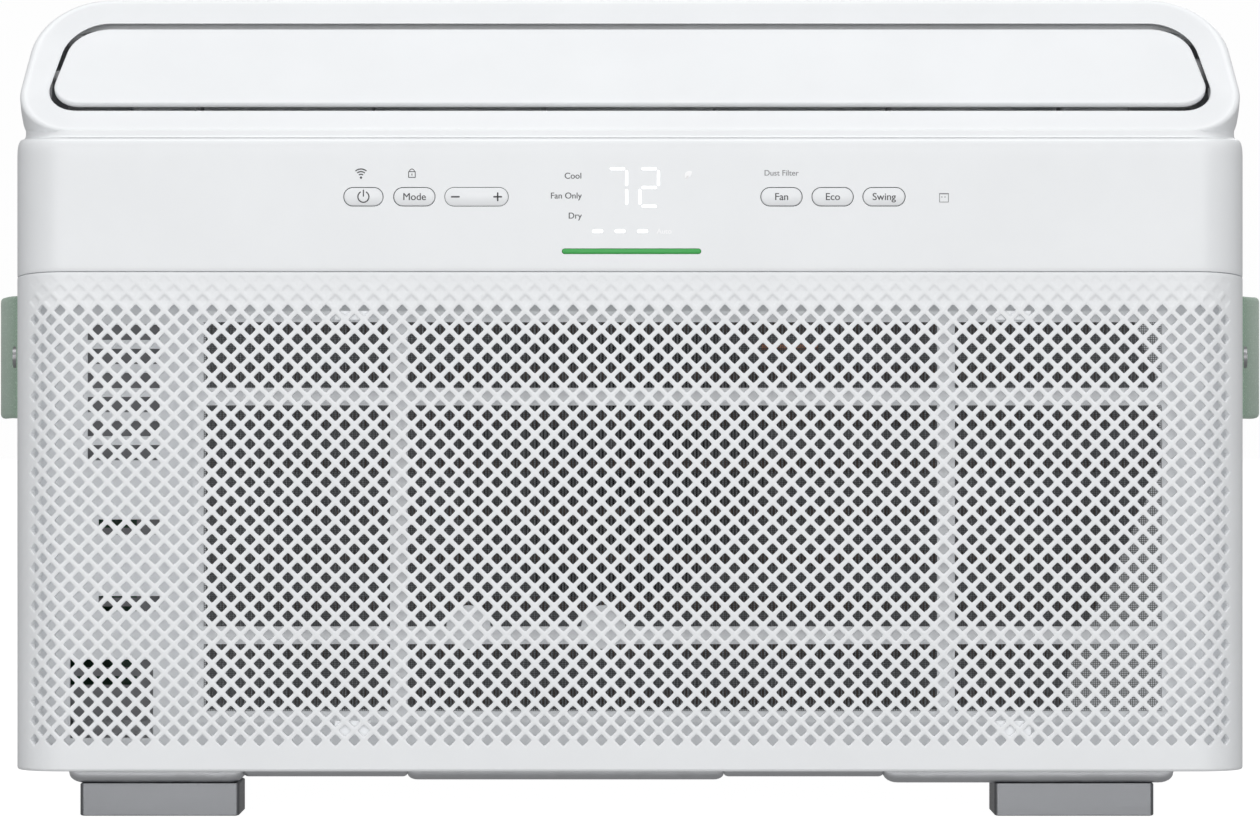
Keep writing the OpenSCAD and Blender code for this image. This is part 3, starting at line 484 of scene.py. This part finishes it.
FINISH = {"white_plastic": WHITE, "grille_plastic": GRILLE, "grey_plastic": GREY, "painted_steel": PAINT,
          "galvanised": GALV, "foot_metal": FOOT, "filter_net": NET, "handle_webbing": SAGE,
          "motor_steel": STEEL, "display_lens": LENS, "light_bar": LED, "circuit_board": BOARD,
          "coil_fins": FIN, "copper": COPPER, "black_plastic": BLACK, "black_paint": SHELL,
          "rubber": RUBBER, "screw_steel": SCREW}
EDGES = {"foot_front_left": 1.6, "foot_front_right": 1.6, "feet_rear": 1.6, "rear_guard": 0.5,
         "cord_inlet": 0.5, "front_frame": 0.5, "compressor": 1.5, "fan_motor": 1.0, "control_box": 0.5,
         "drain_plug": 0.4}
# front_frame and filter_frame take the frame material with its painted glow.
OWN = {"flap_motor": DARK, "swing_motor": DARK, "evaporator_tubes": AGED, "front_frame": FRAME_PAINTED_GLOW,
       "filter_frame": FRAME_PAINTED_GLOW, "control_box": DARK, "box_cover": DARK}
for part in frame["record"]["subparts"]:
    node = nodes[part["node"]]
    node.data.materials.clear()
    node.data.materials.append(OWN.get(part["node"], FINISH[part["material_slot"]]))
    for p in node.data.polygons:
        p.material_index = 0
    if part["node"] in EDGES:
        soften(node, EDGES[part["node"]])

# ---------- front grille: a lattice of rounded diamonds bent round the front ----------

PITCH_S, PITCH_Z = 4.31, 4.333
ROW_0, ROWS, LAST_COLUMN = 231.2, 46, 63
FADING = (0.36, 0.22, 0.1)
LATTICE_TOP = 233.0
GRILLE_SIDE, GRILLE_T = 26.47, 2.5
GRILLE_HALF = HALF_W - CORNER + CORNER * math.pi / 2 + GRILLE_SIDE
TOP_RADIUS, FOOT_RADIUS, END_RADIUS = 0.5, 1.2, 0.3
GRILLE_TOP, GRILLE_FOOT = SEAM_Z - 0.1, 22.0


def diamond(half, r, per_corner=3):
    """A square on its corner with rounded corners; half is the distance to its sides."""
    c = (half - r) * math.sqrt(2)
    pts = []
    for k in range(4):
        a = math.radians(90 * k)
        for t in np.radians(np.linspace(-45, 45, per_corner)):
            pts.append((c * math.cos(a) + r * math.cos(a + t), c * math.sin(a) + r * math.sin(a + t)))
    return np.array(pts)


def rhombus():
    """One cell of the lattice, as twelve points that its neighbours share."""
    corner = [(PITCH_S, 0), (0, PITCH_Z), (-PITCH_S, 0), (0, -PITCH_Z)]
    pts = []
    for k in range(4):
        a, b = np.array(corner[k]), np.array(corner[(k + 1) % 4])
        pts += [a + (b - a) * t for t in (0, 1 / 3, 2 / 3)]
    return np.roll(np.array(pts), 1, axis=0)


def cell(kind, depth=0.0):
    """One cell's points (s along the front, n behind it, z up) and faces, in rings from its edge inwards."""
    outer = rhombus()
    count = len(outer)
    if kind == "hole":
        rings = [(outer, 0), (diamond(2.2, 0.8), 0), (diamond(2.05, 0.68), 0.07), (diamond(1.96, 0.6), 0.3),
                 (diamond(1.96, 0.6), GRILLE_T), (outer, GRILLE_T)]
    elif kind == "dimple":
        rings = [(outer, 0), (diamond(2.35, 0.85), 0), (diamond(2.0, 0.6), depth * 0.6),
                 (diamond(1.2, 0.4), depth), (diamond(0.05, 0.02), depth)]
    else:
        rings = [(outer, 0), (outer * 0.5, 0), (outer * 0.02, 0)]
    pts = np.vstack([np.column_stack([r[:, 0], np.full(count, n), r[:, 1]]) for r, n in rings])
    faces = ring_faces(len(rings), count)
    if kind != "hole":
        last, back = len(pts) - count, len(pts)
        pts = np.vstack([pts, np.column_stack([outer[:, 0], np.full(count, GRILLE_T), outer[:, 1]])])
        faces += [tuple(range(last, back))[::-1], tuple(range(back, back + count))]
    return pts, faces


def lattice():
    """The grille laid flat: rows of holes, dimples that fade out above them, and plain cells all round."""
    verts, faces, base = [], [], 0
    made = {"hole": cell("hole"), "plain": cell("plain"),
            **{depth: cell("dimple", depth) for depth in FADING}}
    last_k = int(GRILLE_HALF / PITCH_S) + 2
    for j in range(-4, ROWS + 3):
        for k in range(-last_k, last_k + 1):
            if (k - j) % 2:
                continue
            kind = "plain"
            if abs(k) <= LAST_COLUMN and 0 <= j < ROWS:
                kind = "hole"
            elif abs(k) <= LAST_COLUMN and -len(FADING) <= j < 0:
                kind = FADING[-1 - j]
            p, f = made[kind]
            verts.append(p + np.array([k * PITCH_S, 0, ROW_0 - j * PITCH_Z]))
            faces += [tuple(i + base for i in face) for face in f]
            base += len(p)
    return np.vstack(verts), faces


def grille_mesh():
    """The lattice trimmed to size, its rim rounded over, then bent round the front."""
    v, f = lattice()
    mesh = bpy.data.meshes.new("grille")
    mesh.from_pydata([tuple(p) for p in v], [], f)
    bm = bmesh.new()
    bm.from_mesh(mesh)
    bmesh.ops.remove_doubles(bm, verts=bm.verts, dist=2e-3)
    edges = [((GRILLE_HALF, 0, 0), (1, 0, 0), END_RADIUS), ((-GRILLE_HALF, 0, 0), (-1, 0, 0), END_RADIUS),
             ((0, 0, GRILLE_TOP), (0, 0, 1), TOP_RADIUS), ((0, 0, GRILLE_FOOT), (0, 0, -1), FOOT_RADIUS)]
    for point, normal, r in edges:
        normal = Vector(normal)
        place = Vector(point) - normal * r
        bmesh.ops.bisect_plane(bm, geom=bm.verts[:] + bm.edges[:] + bm.faces[:], plane_co=place,
                               plane_no=normal, clear_outer=True, dist=1e-4)
    for point, normal, r in edges:
        normal = Vector(normal)
        place = Vector(point) - normal * r
        rim = [e for e in bm.edges if e.is_boundary and all(
            abs((v.co - place).dot(normal)) < 2e-3 and v.co.y < 0.01 for v in e.verts)]
        for t0, t1 in ((0, 30), (30, 60), (60, 90), (90, None)):
            made = bmesh.ops.extrude_edge_only(bm, edges=rim)["geom"]
            rim = [g for g in made if isinstance(g, bmesh.types.BMEdge)]
            a0 = math.radians(t0)
            a1 = math.radians(t1) if t1 else None
            out = r * (math.sin(a1) - math.sin(a0)) if t1 else 0
            deep = r * (math.cos(a0) - math.cos(a1)) if t1 else GRILLE_T - r
            for g in made:
                if isinstance(g, bmesh.types.BMVert):
                    g.co += normal * out + Vector((0, deep, 0))
    for vert in bm.verts:
        s, n, z = vert.co
        x, d = round_front(s, n)
        fall = min(1.0, max(0.0, (z - LATTICE_TOP) / (GRILLE_TOP - LATTICE_TOP)))
        z -= fall * SEAM_FALL * float(d)
        vert.co = metres([(float(x), float(d), z)])[0]
    bm.normal_update()
    bm.to_mesh(mesh)
    bm.free()
    mesh.materials.append(GRILLE)
    mesh.shade_smooth()
    mesh.set_sharp_from_angle(angle=math.radians(32))
    return mesh


grille = bpy.data.objects.new("front_grille_shell", grille_mesh())
scene.collection.objects.link(grille)
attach(grille, "front_grille")
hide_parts("front_grille")

LIP_DEEP, LIP_T, LIP_INSET = 17.0, 2.5, 0.9
plan = [round_front(s, LIP_INSET) for s in stations(HALF_W - CORNER, CORNER, 20)]
lip = [(x, d) for x, d in plan if d < LIP_DEEP]
inner_lip = [(x * 0.985, LIP_DEEP) for x, d in lip]
curves = [np.array([(x, d, z) for (x, d) in lip] + [(x, d, z) for (x, d) in inner_lip[::-1]])
          for z in (GRILLE_FOOT + 0.2, GRILLE_FOOT + LIP_T)]
add("front_grille_lip", stack(curves), "front_grille", GRILLE, smooth=30)

# ---------- filter net, and the fins of both coils ----------


def rod(a, b, r, n):
    """A round bar from a to b with n sides."""
    a, b = np.array(a, float), np.array(b, float)
    along = (b - a) / np.linalg.norm(b - a)
    side = np.cross(along, (0.3, 0.9, 0.2))
    side /= np.linalg.norm(side)
    up = np.cross(along, side)
    ring = [side * math.cos(t) * r + up * math.sin(t) * r for t in np.linspace(0, 2 * math.pi, n + 1)[:-1]]
    return stack([np.array([a + p for p in ring]), np.array([b + p for p in ring])])


NET_X, NET_Z, NET_D, NET_PITCH, NET_R = (-198.0, 246.0), (45.0, 230.0), 12.6, 1.0, 0.135
threads = [rod((x, NET_D, NET_Z[0]), (x, NET_D, NET_Z[1]), NET_R, 4)
           for x in np.arange(NET_X[0], NET_X[1], NET_PITCH)]
threads += [rod((NET_X[0], NET_D + NET_R, z), (NET_X[1], NET_D + NET_R, z), NET_R, 4)
            for z in np.arange(NET_Z[0], NET_Z[1], NET_PITCH)]
add("filter_net_threads", gather(threads), "front_grille", NET, "filter_mesh")

RIPPLE = [(0.0, 0.0), (0.25, 0.35), (0.5, 0.0), (0.75, 0.35), (1.0, 0.0)]
FIN_MARGIN = 0.4


def fin_pack(name, node, pitch, thick):
    """Rows of thin rippled foil that fill a coil's box."""
    low, high = ([p.x / MM, (p.y - FRONT_Y) / MM, p.z / MM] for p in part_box(node))
    fins = []
    for x in np.arange(low[0] + FIN_MARGIN, high[0] - FIN_MARGIN - thick, pitch):
        rows = []
        for t, off in RIPPLE:
            d = low[1] + (high[1] - low[1]) * t
            rows.append([(x + off, d, low[2]), (x + off + thick, d, low[2]), (x + off + thick, d, high[2]),
                         (x + off, d, high[2])])
        fins.append(stack(rows))
    add(name, gather(fins), CHASSIS, FIN, node, smooth=20)


fin_pack("evaporator_fin_pack", "evaporator_fins", 1.6, 0.3)
fin_pack("condenser_fin_pack", "condenser_fins", 1.8, 0.35)

# ---------- carrying straps on the sides ----------


def strap(name, sign, node):
    """A band of webbing that bows out between two flat tabs, with its stitching."""
    low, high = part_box(node)
    z_mid, half_z = (low.z + high.z) / 2 / MM, (high.z - low.z) / 2 / MM
    d0, d1 = (low.y - FRONT_Y) / MM, (high.y - FRONT_Y) / MM
    wall, out, thick = HALF_W, 298.0, 4.0
    tab = 20.0
    path = []
    for t in np.linspace(0, 1, 45):
        d = d0 + (d1 - d0) * t
        u = (d - d0 - tab) / (d1 - d0 - 2 * tab)
        lift = 0.0 if u <= 0 or u >= 1 else (math.sin(math.pi * u)) ** 0.62
        path.append((wall - 0.2 + lift * (out - thick - wall), d))
    path = np.array(path)
    step = np.gradient(path, axis=0)
    nrm = np.column_stack([step[:, 1], -step[:, 0]])
    nrm /= np.linalg.norm(nrm, axis=1)[:, None]
    r = thick / 2
    cross = [(half_z - r + r * math.cos(a), r + r * math.sin(a)) for a in np.radians(np.linspace(-90, 90, 7))]
    section = cross + [(-z, t) for z, t in cross[::-1]]
    sections = []
    for (x, d), (nx, nd) in zip(path, nrm):
        sag = 0.5 * math.sin(d * 0.11 + sign)
        sections.append([(sign * (x + nx * t), d + nd * t, z_mid + z + sag * 0.3) for z, t in section])
    add(name, stack(sections), CHASSIS, SAGE, node, smooth=50)
    stitches = []
    for end in (d0 + 4, d0 + 15, d1 - 15, d1 - 4):
        for z in np.arange(z_mid - half_z + 4, z_mid + half_z - 4, 3.4):
            t = (end - d0) / (d1 - d0)
            x = np.interp(end, path[:, 1], path[:, 0]) + 4.05
            stitches.append(rod((sign * x, end, z), (sign * x, end, z + 2.3), 0.32, 6))
    add(name + "_stitching", gather(stitches), CHASSIS, THREAD, smooth=60)


strap("carry_strap_left", -1, "handle_left")
strap("carry_strap_right", 1, "handle_right")

# ---------- control fascia ----------

BUTTONS = {"power": (-120.9, 17.7), "mode": (-97.8, 18.6), "temperature": (-69.6, 28.6),
           "fan": (68.7, 18.6), "eco": (91.9, 18.6), "swing": (115.2, 19.0)}
BUTTON_Z, BUTTON_H, BUTTON_GAP = 282.7, 8.2, 0.3
LED_X, LED_W, LED_H, LED_Z, LED_GAP = 0.7, 63.0, 2.3, 258.0, 0.15
FASCIA_D = 118.0
FASCIA_PROFILE = [(2.5, 248.9), (0.4, 248.9), (0.12, 249.03), (0, 249.4), (0, 251), (0, 300), (0, 302),
                  (0.1, 304.5), (0.35, 306.4), (0.8, 307.9), (1.4, 308.9), (2.1, 309.35), (2.9, 309.5),
                  (9.0, 309.5), (9.0, 307.2), (2.5, 306.6), (2.5, 300), (2.5, 251)]


def fascia_stations():
    """Places along the fascia's outline, with long flat runs and close steps in the bends."""
    flat, arc = HALF_W - CORNER, CORNER * math.pi / 2
    half = [128, 250, flat - 1] + list(np.linspace(flat, flat + arc, 21))
    half += list(np.linspace(flat + arc, flat + arc + FASCIA_D - CORNER, 7)[1:])
    return [-s for s in half[::-1]] + half


def dropped(z, d, foot=248.9, free=262.0):
    """The seam falls away along the sides; above free the height stays."""
    return z - SEAM_FALL * d * min(1.0, max(0.0, (free - z) / (free - foot)))


sections = []
for s in fascia_stations():
    row = []
    for n, z in FASCIA_PROFILE:
        x, d = round_front(s, n)
        row.append((float(x), float(d), dropped(z, float(d))))
    sections.append(row)
CUT_FROM, CUT_TO = -3, 7
holes = [plate(pill(x, BUTTON_Z, w, BUTTON_H, BUTTON_GAP, 16), CUT_FROM, CUT_TO) for x, w in BUTTONS.values()]
holes.append(plate(pill(LED_X, LED_Z, LED_W, LED_H, LED_GAP, 10), CUT_FROM, CUT_TO))
dress("control_fascia_shell", cut(stack(sections), holes), CHASSIS, WHITE,
      "control_fascia", smooth=28)

add("status_light", plate(pill(LED_X, LED_Z, LED_W, LED_H, 0, 10), -0.15, 4.0, 0.35), CHASSIS, LED,
    "led_bar", smooth=50)

for name, (x, w) in BUTTONS.items():
    cap = plate(pill(x, BUTTON_Z, w, BUTTON_H, 0, 16), -0.25, 4.4, 0.6)
    add("button_cap_" + name, cap, "button_" + name, WHITE,
        "button_" + name if name != "temperature" else None, smooth=40)

# ---------- printed and lit marks ----------


PRINT = -0.06
INK_SPREAD = 0.018


def label(name, text, x, z, size, mat, body=CHASSIS, align="CENTER", depth=PRINT):
    """A word set in the plain font, drawn twice a little apart for weight."""
    curve = bpy.data.curves.new(name, "FONT")
    curve.body, curve.size, curve.align_x, curve.align_y = text, size, align, "CENTER"
    obj = bpy.data.objects.new(name, curve)
    scene.collection.objects.link(obj)
    made = evaluated(obj)
    bpy.data.objects.remove(obj)
    p = np.array([v.co[:] for v in made.vertices])
    f = [tuple(q.vertices) for q in made.polygons]
    f += [tuple(i + len(p) for i in q) for q in f]
    p = np.vstack([p, p + np.array([size * INK_SPREAD, 0, 0.002])])
    add(name, (np.column_stack([p[:, 0] + x, depth - p[:, 2], p[:, 1] + z]), f), body, mat,
        smooth=10)


def arc_strip(cx, cz, r, a0, a1, width, n=14):
    """A curved stroke about (cx, cz), between two angles in degrees."""
    t = np.radians(np.linspace(a0, a1, n))
    ring = [(cx + (r - width / 2) * math.cos(a), cz + (r - width / 2) * math.sin(a)) for a in t]
    ring += [(cx + (r + width / 2) * math.cos(a), cz + (r + width / 2) * math.sin(a)) for a in t[::-1]]
    return ring


def bar(x0, z0, x1, z1, width, n=5):
    """A stroke with round ends."""
    a = math.atan2(z1 - z0, x1 - x0)
    pts = []
    for (x, z), start in (((x1, z1), a - math.pi / 2), ((x0, z0), a + math.pi / 2)):
        pts += [(x + width / 2 * math.cos(t), z + width / 2 * math.sin(t))
                for t in np.linspace(start, start + math.pi, n)]
    return pts


def marks(name, shapes, mat, body=CHASSIS, depth=PRINT):
    """Printed shapes, each an outline of points (x, z), as one thin piece."""
    parts = []
    for shape in shapes:
        n = len(shape)
        front = [(x, depth, z) for x, z in shape]
        rear = [(x, depth + 0.05, z) for x, z in shape]
        faces = [(i, (i + 1) % n, n + (i + 1) % n, n + i) for i in range(n)]
        parts.append((front + rear, faces + [tuple(range(n)), tuple(range(n, 2 * n))[::-1]]))
    add(name, gather(parts), body, mat, smooth=10)


CAP = -0.32
x = BUTTONS["power"][0]
marks("mark_power", [arc_strip(x, BUTTON_Z, 2.5, 118, 422, 0.55, 30),
                     bar(x, BUTTON_Z + 0.3, x, BUTTON_Z + 3.0, 0.55)], INK, "button_power", CAP)
x = BUTTONS["temperature"][0]
marks("mark_minus", [bar(x - 11.3, BUTTON_Z, x - 7.9, BUTTON_Z, 0.7)], INK, "button_temperature", CAP)
marks("mark_plus", [bar(x + 7.9, BUTTON_Z, x + 11.3, BUTTON_Z, 0.7),
                    bar(x + 9.6, BUTTON_Z - 1.7, x + 9.6, BUTTON_Z + 1.7, 0.7)], INK, "button_temperature",
      CAP - 0.01)
for name, text in (("mode", "Mode"), ("fan", "Fan"), ("eco", "Eco"), ("swing", "Swing")):
    label("legend_" + name, text, BUTTONS[name][0], BUTTON_Z - 0.1, 4.6, INK, "button_" + name, depth=CAP)
marks("mark_signal", [arc_strip(-122.0, 291.4, r, 50, 130, 0.55) for r in (1.5, 2.7, 3.9)]
      + [arc_strip(-122.0, 291.4, 0.3, 0, 359, 0.5)], INK)
marks("mark_lock", [bar(-100.4, 291.5, -97.4, 291.5, 0.35), bar(-100.4, 294.1, -97.4, 294.1, 0.35),
                    bar(-100.4, 291.5, -100.4, 294.1, 0.35), bar(-97.4, 291.5, -97.4, 294.1, 0.35),
                    arc_strip(-98.9, 294.2, 1.1, 0, 180, 0.35), bar(-98.9, 292.5, -98.9, 293.1, 0.4)], INK)
for text, z in (("Cool", 292.1), ("Fan Only", 283.1), ("Dry", 274.0)):
    label("legend_" + text.replace(" ", "_").lower(), text, -21.9, z, 3.9, INK, align="RIGHT")
label("legend_dust_filter", "Dust Filter", 68.6, 293.4, 3.6, PALE_INK)
label("legend_auto", "Auto", 15.5, 267.0, 3.3, FAINT)
x, z = 142.4, 282.2
marks("mark_timer", [bar(x - 2, z - 1.9, x + 2, z - 1.9, 0.3), bar(x - 2, z + 1.9, x + 2, z + 1.9, 0.5),
                     bar(x - 2, z - 1.9, x - 2, z + 1.9, 0.3), bar(x + 2, z - 1.9, x + 2, z + 1.9, 0.3),
                     bar(x - 1, z + 0.4, x - 0.9, z + 0.4, 0.5),
                     bar(x + 0.4, z + 0.4, x + 0.5, z + 0.4, 0.5)],
      PALE_INK)


def digit(x, z, lit):
    """The lit bars of a digit, by their usual letters. No digit shown here lights the bar f."""
    h, w, g, t = 8.5, 4.2, 1.35, 1.15
    ends = {"a": (x - w + g, z + h, x + w - g, z + h), "d": (x - w + g, z - h, x + w - g, z - h),
            "g": (x - w + g, z, x + w - g, z), "b": (x + w, z + h - g, x + w, z + g),
            "c": (x + w, z - g, x + w, z - h + g), "e": (x - w, z - g, x - w, z - h + g)}
    return [bar(*ends[k], t) for k in lit]


marks("digits_lit", digit(-5.7, 286.9, "abc") + digit(8.7, 286.9, "abged"), GLOW)
marks("speed_dashes_lit", [bar(x - 1.7, 267.1, x + 1.7, 267.1, 1.5) for x in (-14.7, -4.5, 5.7)], GLOW)
leaf = [(26.3 + 2.0 * math.cos(a) * (1 - 0.35 * math.sin(a)), 292.9 + 1.3 * math.sin(a))
        for a in np.linspace(0, 2 * math.pi, 25)[:-1]]
c, s = math.cos(0.9), math.sin(0.9)
leaf = [(26.3 + (x - 26.3) * c - (z - 292.9) * s, 292.9 + (x - 26.3) * s + (z - 292.9) * c) for x, z in leaf]
marks("mark_leaf", [leaf, bar(25.3, 290.6, 26.4, 292.2, 0.3)], FAINT)

# ---------- outlet housing: raised rim, neck and duct ----------

FLAP_HALF, FLAP_V = 263.0, 25.5
GAP_X, GAP_V = 2.5, 1.8
RING = outline(278.5, -40.7, 38.5, 23, 36, 3)
MOUTH = outline(FLAP_HALF + GAP_X, -FLAP_V - GAP_V, FLAP_V + GAP_V, 14, 22, 4)


def inner_w(v):
    """How far the ring's face stands out at the mouth's edge, at a height v up the slope."""
    return -0.6 + v * math.tan(math.radians(5.0))


def crest_w(v):
    """The same at the ring's outer edge."""
    return 1.88 + v * math.tan(math.radians(6.84))


def rim():
    """The broad smooth ring round the mouth, as rings from its hidden back edge round to it again."""
    span = np.hypot(*(RING - MOUTH).T)
    u = (RING - MOUTH) / span[:, None]
    step = np.roll(RING, -1, 0) - np.roll(RING, 1, 0)
    sideways = (np.abs(step[:, 1]) / np.hypot(*step.T)) ** 1.5
    wi, wc = inner_w(MOUTH[:, 1]) - 1.5 * sideways, crest_w(RING[:, 1])
    rings = []

    def ring(q, w):
        p = MOUTH + u * np.asarray(q)[:, None]
        rings.append(np.column_stack([p, w]))

    one = np.ones(len(span))
    ring(span - 2.0, wc - 15)
    ring(span - 2.0, wc - 4.5)
    ring(span - 4.5, wi + (wc - wi) * 0.7 - 2.2)
    ring(1.6 * one, wi - 1.7)
    ring(0.3 * one, wi - 1.0)
    ring(0 * one, wi - 0.32)
    ring(0.18 * one, wi - 0.17)
    ring(0.6 * one, wi)
    r = 1.7 + 1.3 * sideways
    brow = span - r
    for t in (0.08, 0.3, 0.6, 0.85, 1.0):
        q = 0.6 + (brow - 0.6) * t
        ring(q, wi + (wc - wi) * t)
    for a in np.radians((15, 30, 45, 60, 75, 90)):
        ring(brow + r * math.sin(a), wc - r * (1 - math.cos(a)) * 0.8)
    ring(span, wc - 5.2)
    ring(span, wc - 9)
    ring(span - 0.4, wc - 15)
    pts = [at_mouth(r) for r in rings]
    return stack(pts, closed=True)


add("outlet_rim", rim(), CHASSIS, WHITE, "outlet_housing", smooth=46)

NECK_HALF, NECK_D, NECK_R, NECK_BACK = 276.5, 3.6, 24.0, 117.5
BACK_LINE = ((57.8, 367.0), (63.0, 365.5), (117.5, 350.0))
TOP_CORNER = (240.5, 36.0, 26.0)


def neck_top(d):
    """The neck's height: it rises with the slope, then falls with the lid behind it."""
    return min(d + 309.2, float(np.interp(d, *zip(*BACK_LINE))) - TOP_CORNER[2])


sections = []
flat, arc = NECK_HALF - NECK_R, NECK_R * math.pi / 2
half = [100, 200, flat - 1] + list(np.linspace(flat, flat + arc, 21))
half += list(np.linspace(flat + arc, flat + arc + NECK_BACK - NECK_D - NECK_R, 22)[1:])
for s in [-s for s in half[::-1]] + half:
    row = []
    for n, z in ((-1.3, 309.62), (-0.8, 309.8), (-0.42, 310.2), (-0.15, 310.9), (0, 311.9), (0, None),
                 (3, None), (3, 309.62)):
        x, d = round_front(s, n, NECK_HALF, NECK_R, NECK_D)
        row.append((float(x), float(d), neck_top(float(d)) if z is None else z))
    sections.append(row)
add("outlet_neck", stack(sections), CHASSIS, WHITE, smooth=40)

lid = []
edge = [(TOP_CORNER[0] + TOP_CORNER[1] * math.cos(t), TOP_CORNER[2] * (1 - math.sin(t)))
        for t in np.linspace(0, math.pi / 2, 15)]
for x, drop in [(-x, drop) for x, drop in edge] + [(0, 0)] + edge[::-1]:
    top = [(60.5, 366.1), (63, 365.5), (80, 360.7), (100, 355.0), (114, 351.0), (116, 350.2),
           (117, 349.4), (117.5, 348)]
    lid.append([(x, d, z - drop) for d, z in top] + [(x, 117.5, 346 - drop), (x, 64, 361 - drop),
                                                     (x, 60.5, 362 - drop)])
add("outlet_back", stack(lid), CHASSIS, WHITE, smooth=40)

FLANGE_X, FLANGE_D, FLANGE_Z, FLANGE_R = (236.0, 279.0), (115.3, 117.6), (310.2, 347.8), 6.0
flange = [(FLANGE_X[0], FLANGE_Z[0]), (FLANGE_X[1], FLANGE_Z[0])]
flange += [(FLANGE_X[1] + FLANGE_R * (math.cos(t) - 1), FLANGE_Z[1] + FLANGE_R * (math.sin(t) - 1))
           for t in np.linspace(0, math.pi / 2, 9)] + [(FLANGE_X[0], FLANGE_Z[1])]
ends = [stack([np.array([(sgn * x, d, z) for x, z in flange]) for d in FLANGE_D]) for sgn in (-1, 1)]
add("outlet_flange", gather(ends), CHASSIS, WHITE, smooth=40)


def side(v, w):
    """A point v up the slope and w out of the mouth, as (distance, height)."""
    return (MOUTH_D + ROOT * (v - w), MOUTH_Z + ROOT * (v + w))


def prism(profile, half_x):
    """A profile of (distance, height) points across the unit."""
    return stack([np.array([(x, d, z) for d, z in profile]) for x in (-half_x, half_x)])


DUCT_HALF, DUCT_ROOM_HALF = 268.5, 265.6
duct = prism([side(-32, -14), side(-32, -64), (116.5, 277), (116.5, 345), (80, 356),
              side(32, -10)], DUCT_HALF)
room = prism([side(-29.5, 8), side(-29.5, -67), (98, 255), (130, 255), (130, 346), (114, 346),
              side(29.5, -14), side(29.5, 8)], DUCT_ROOM_HALF)
dress("outlet_duct", cut(duct, [room]), CHASSIS, GREY, smooth=20)

# ---------- outlet flap ----------

PIVOT_V, PIVOT_W, CHEEK_X, CHEEK_R = 6.0, -12.0, 243.0, 6.0


def flap_ring(inset, w):
    """The flap's outline, drawn in by inset and w out of the mouth."""
    p = outline(FLAP_HALF - inset, -FLAP_V + inset, FLAP_V - inset, 12 - inset, 20 - inset, 4)
    return at_mouth(np.column_stack([p, np.full(len(p), w)]))


FLAP_EDGE = ((2.2, 0), (1.1, 0), (0.6, -0.1), (0.22, -0.38), (0.03, -0.8), (0, -1.2), (0, -2.6), (0.3, -3.0),
             (1.5, -3.0))
parts = [stack([flap_ring(inset, w) for inset, w in FLAP_EDGE])]
for sgn in (-1, 1):
    shape = [(-CHEEK_R, -2.5), (CHEEK_R, -2.5), (CHEEK_R, PIVOT_W)]
    shape += [(PIVOT_V - CHEEK_R + CHEEK_R * math.cos(a), PIVOT_W + CHEEK_R * math.sin(a))
              for a in np.linspace(0, -math.pi, 13)[1:-1]]
    shape += [(-CHEEK_R, PIVOT_W)]
    faces = [at_mouth([(sgn * CHEEK_X + o, PIVOT_V + v, w) for v, w in shape]) for o in (-1.5, 1.5)]
    parts.append(stack(faces))
add("air_flap_panel", gather(parts), "air_flap", WHITE, "air_flap", smooth=40)
pins = [rod(at_mouth([(-267, PIVOT_V, PIVOT_W)])[0], at_mouth([(-244, PIVOT_V, PIVOT_W)])[0], 2.5, 20)]
add("air_flap_pin", gather(pins), "air_flap", WHITE, smooth=50)

# ---------- base pan: a drawn sheet with shallow feet sections ----------

PAN_HALF, PAN_D, PAN_SHEET, PAN_BEND = 266.0, (27.0, 584.0), 1.2, 5.4
PAN_LIP_Z, PAN_TOP_Z, PAN_FOOT_Z, PAN_SLOPE = 28.4, 42, 22, 14
PAN_BULGES = [(-266, -257, 21.6), (-257, -177, 15.2), (-177, -102, 18.0), (-102, 43, 16.6), (43, 116, 18.0),
              (116, 249, 15.2), (249, 266, 21.6)]


def pan_sections():
    """Places across the pan, as (x, height of its underside), with round steps between its sections."""
    rows = []
    for x0, x1, low in PAN_BULGES:
        r = max(0.01, min(4.2, 19.4 - low))
        bend = [r * (1 - math.cos(a)) for a in np.linspace(0, math.pi / 2, 7)]
        lift = [r * (1 - math.sin(a)) for a in np.linspace(0, math.pi / 2, 7)]
        wide = [b * 1.6 for b in bend]
        rows += [(x0 + b + 0.05, low + up) for b, up in zip(wide, lift)]
        rows += [(x1 - b - 0.05, low + up) for b, up in zip(wide[::-1], lift[::-1])]
    return rows


sections = []
for x, low in pan_sections():
    r = 4.0
    front = [(PAN_D[0] + r * (1 - math.sin(a)), low + r * (1 - math.cos(a)))
             for a in np.linspace(math.pi / 2, 0, 7)]
    rear = [(PAN_D[1] - (d - PAN_D[0]), z) for d, z in front[::-1]]
    loop = [(PAN_D[0], PAN_LIP_Z)] + front + rear
    loop += [(PAN_D[1], PAN_TOP_Z), (PAN_D[1] - PAN_SHEET, PAN_TOP_Z), (PAN_D[1] - PAN_SHEET, low + PAN_BEND),
             (PAN_D[1] - PAN_BEND, low + PAN_SHEET), (PAN_D[0] + PAN_BEND, low + PAN_SHEET),
             (PAN_D[0] + PAN_SHEET, low + PAN_BEND), (PAN_D[0] + PAN_SHEET, PAN_LIP_Z)]
    sections.append([(x, d, z) for d, z in loop])
parts = [stack(sections)]
for sgn in (-1, 1):
    wall = [(PAN_D[0], PAN_LIP_Z), (PAN_D[0] + PAN_SLOPE, PAN_TOP_Z), (PAN_D[1], PAN_TOP_Z),
            (PAN_D[1], PAN_FOOT_Z), (PAN_D[0], PAN_FOOT_Z)]
    parts.append(stack([np.array([(sgn * x, d, z) for d, z in wall])
                        for x in (PAN_HALF - PAN_SHEET - 0.1, PAN_HALF - 0.1)]))
add("base_pan_sheet", gather(parts), CHASSIS, GALV, "base_pan", smooth=35)
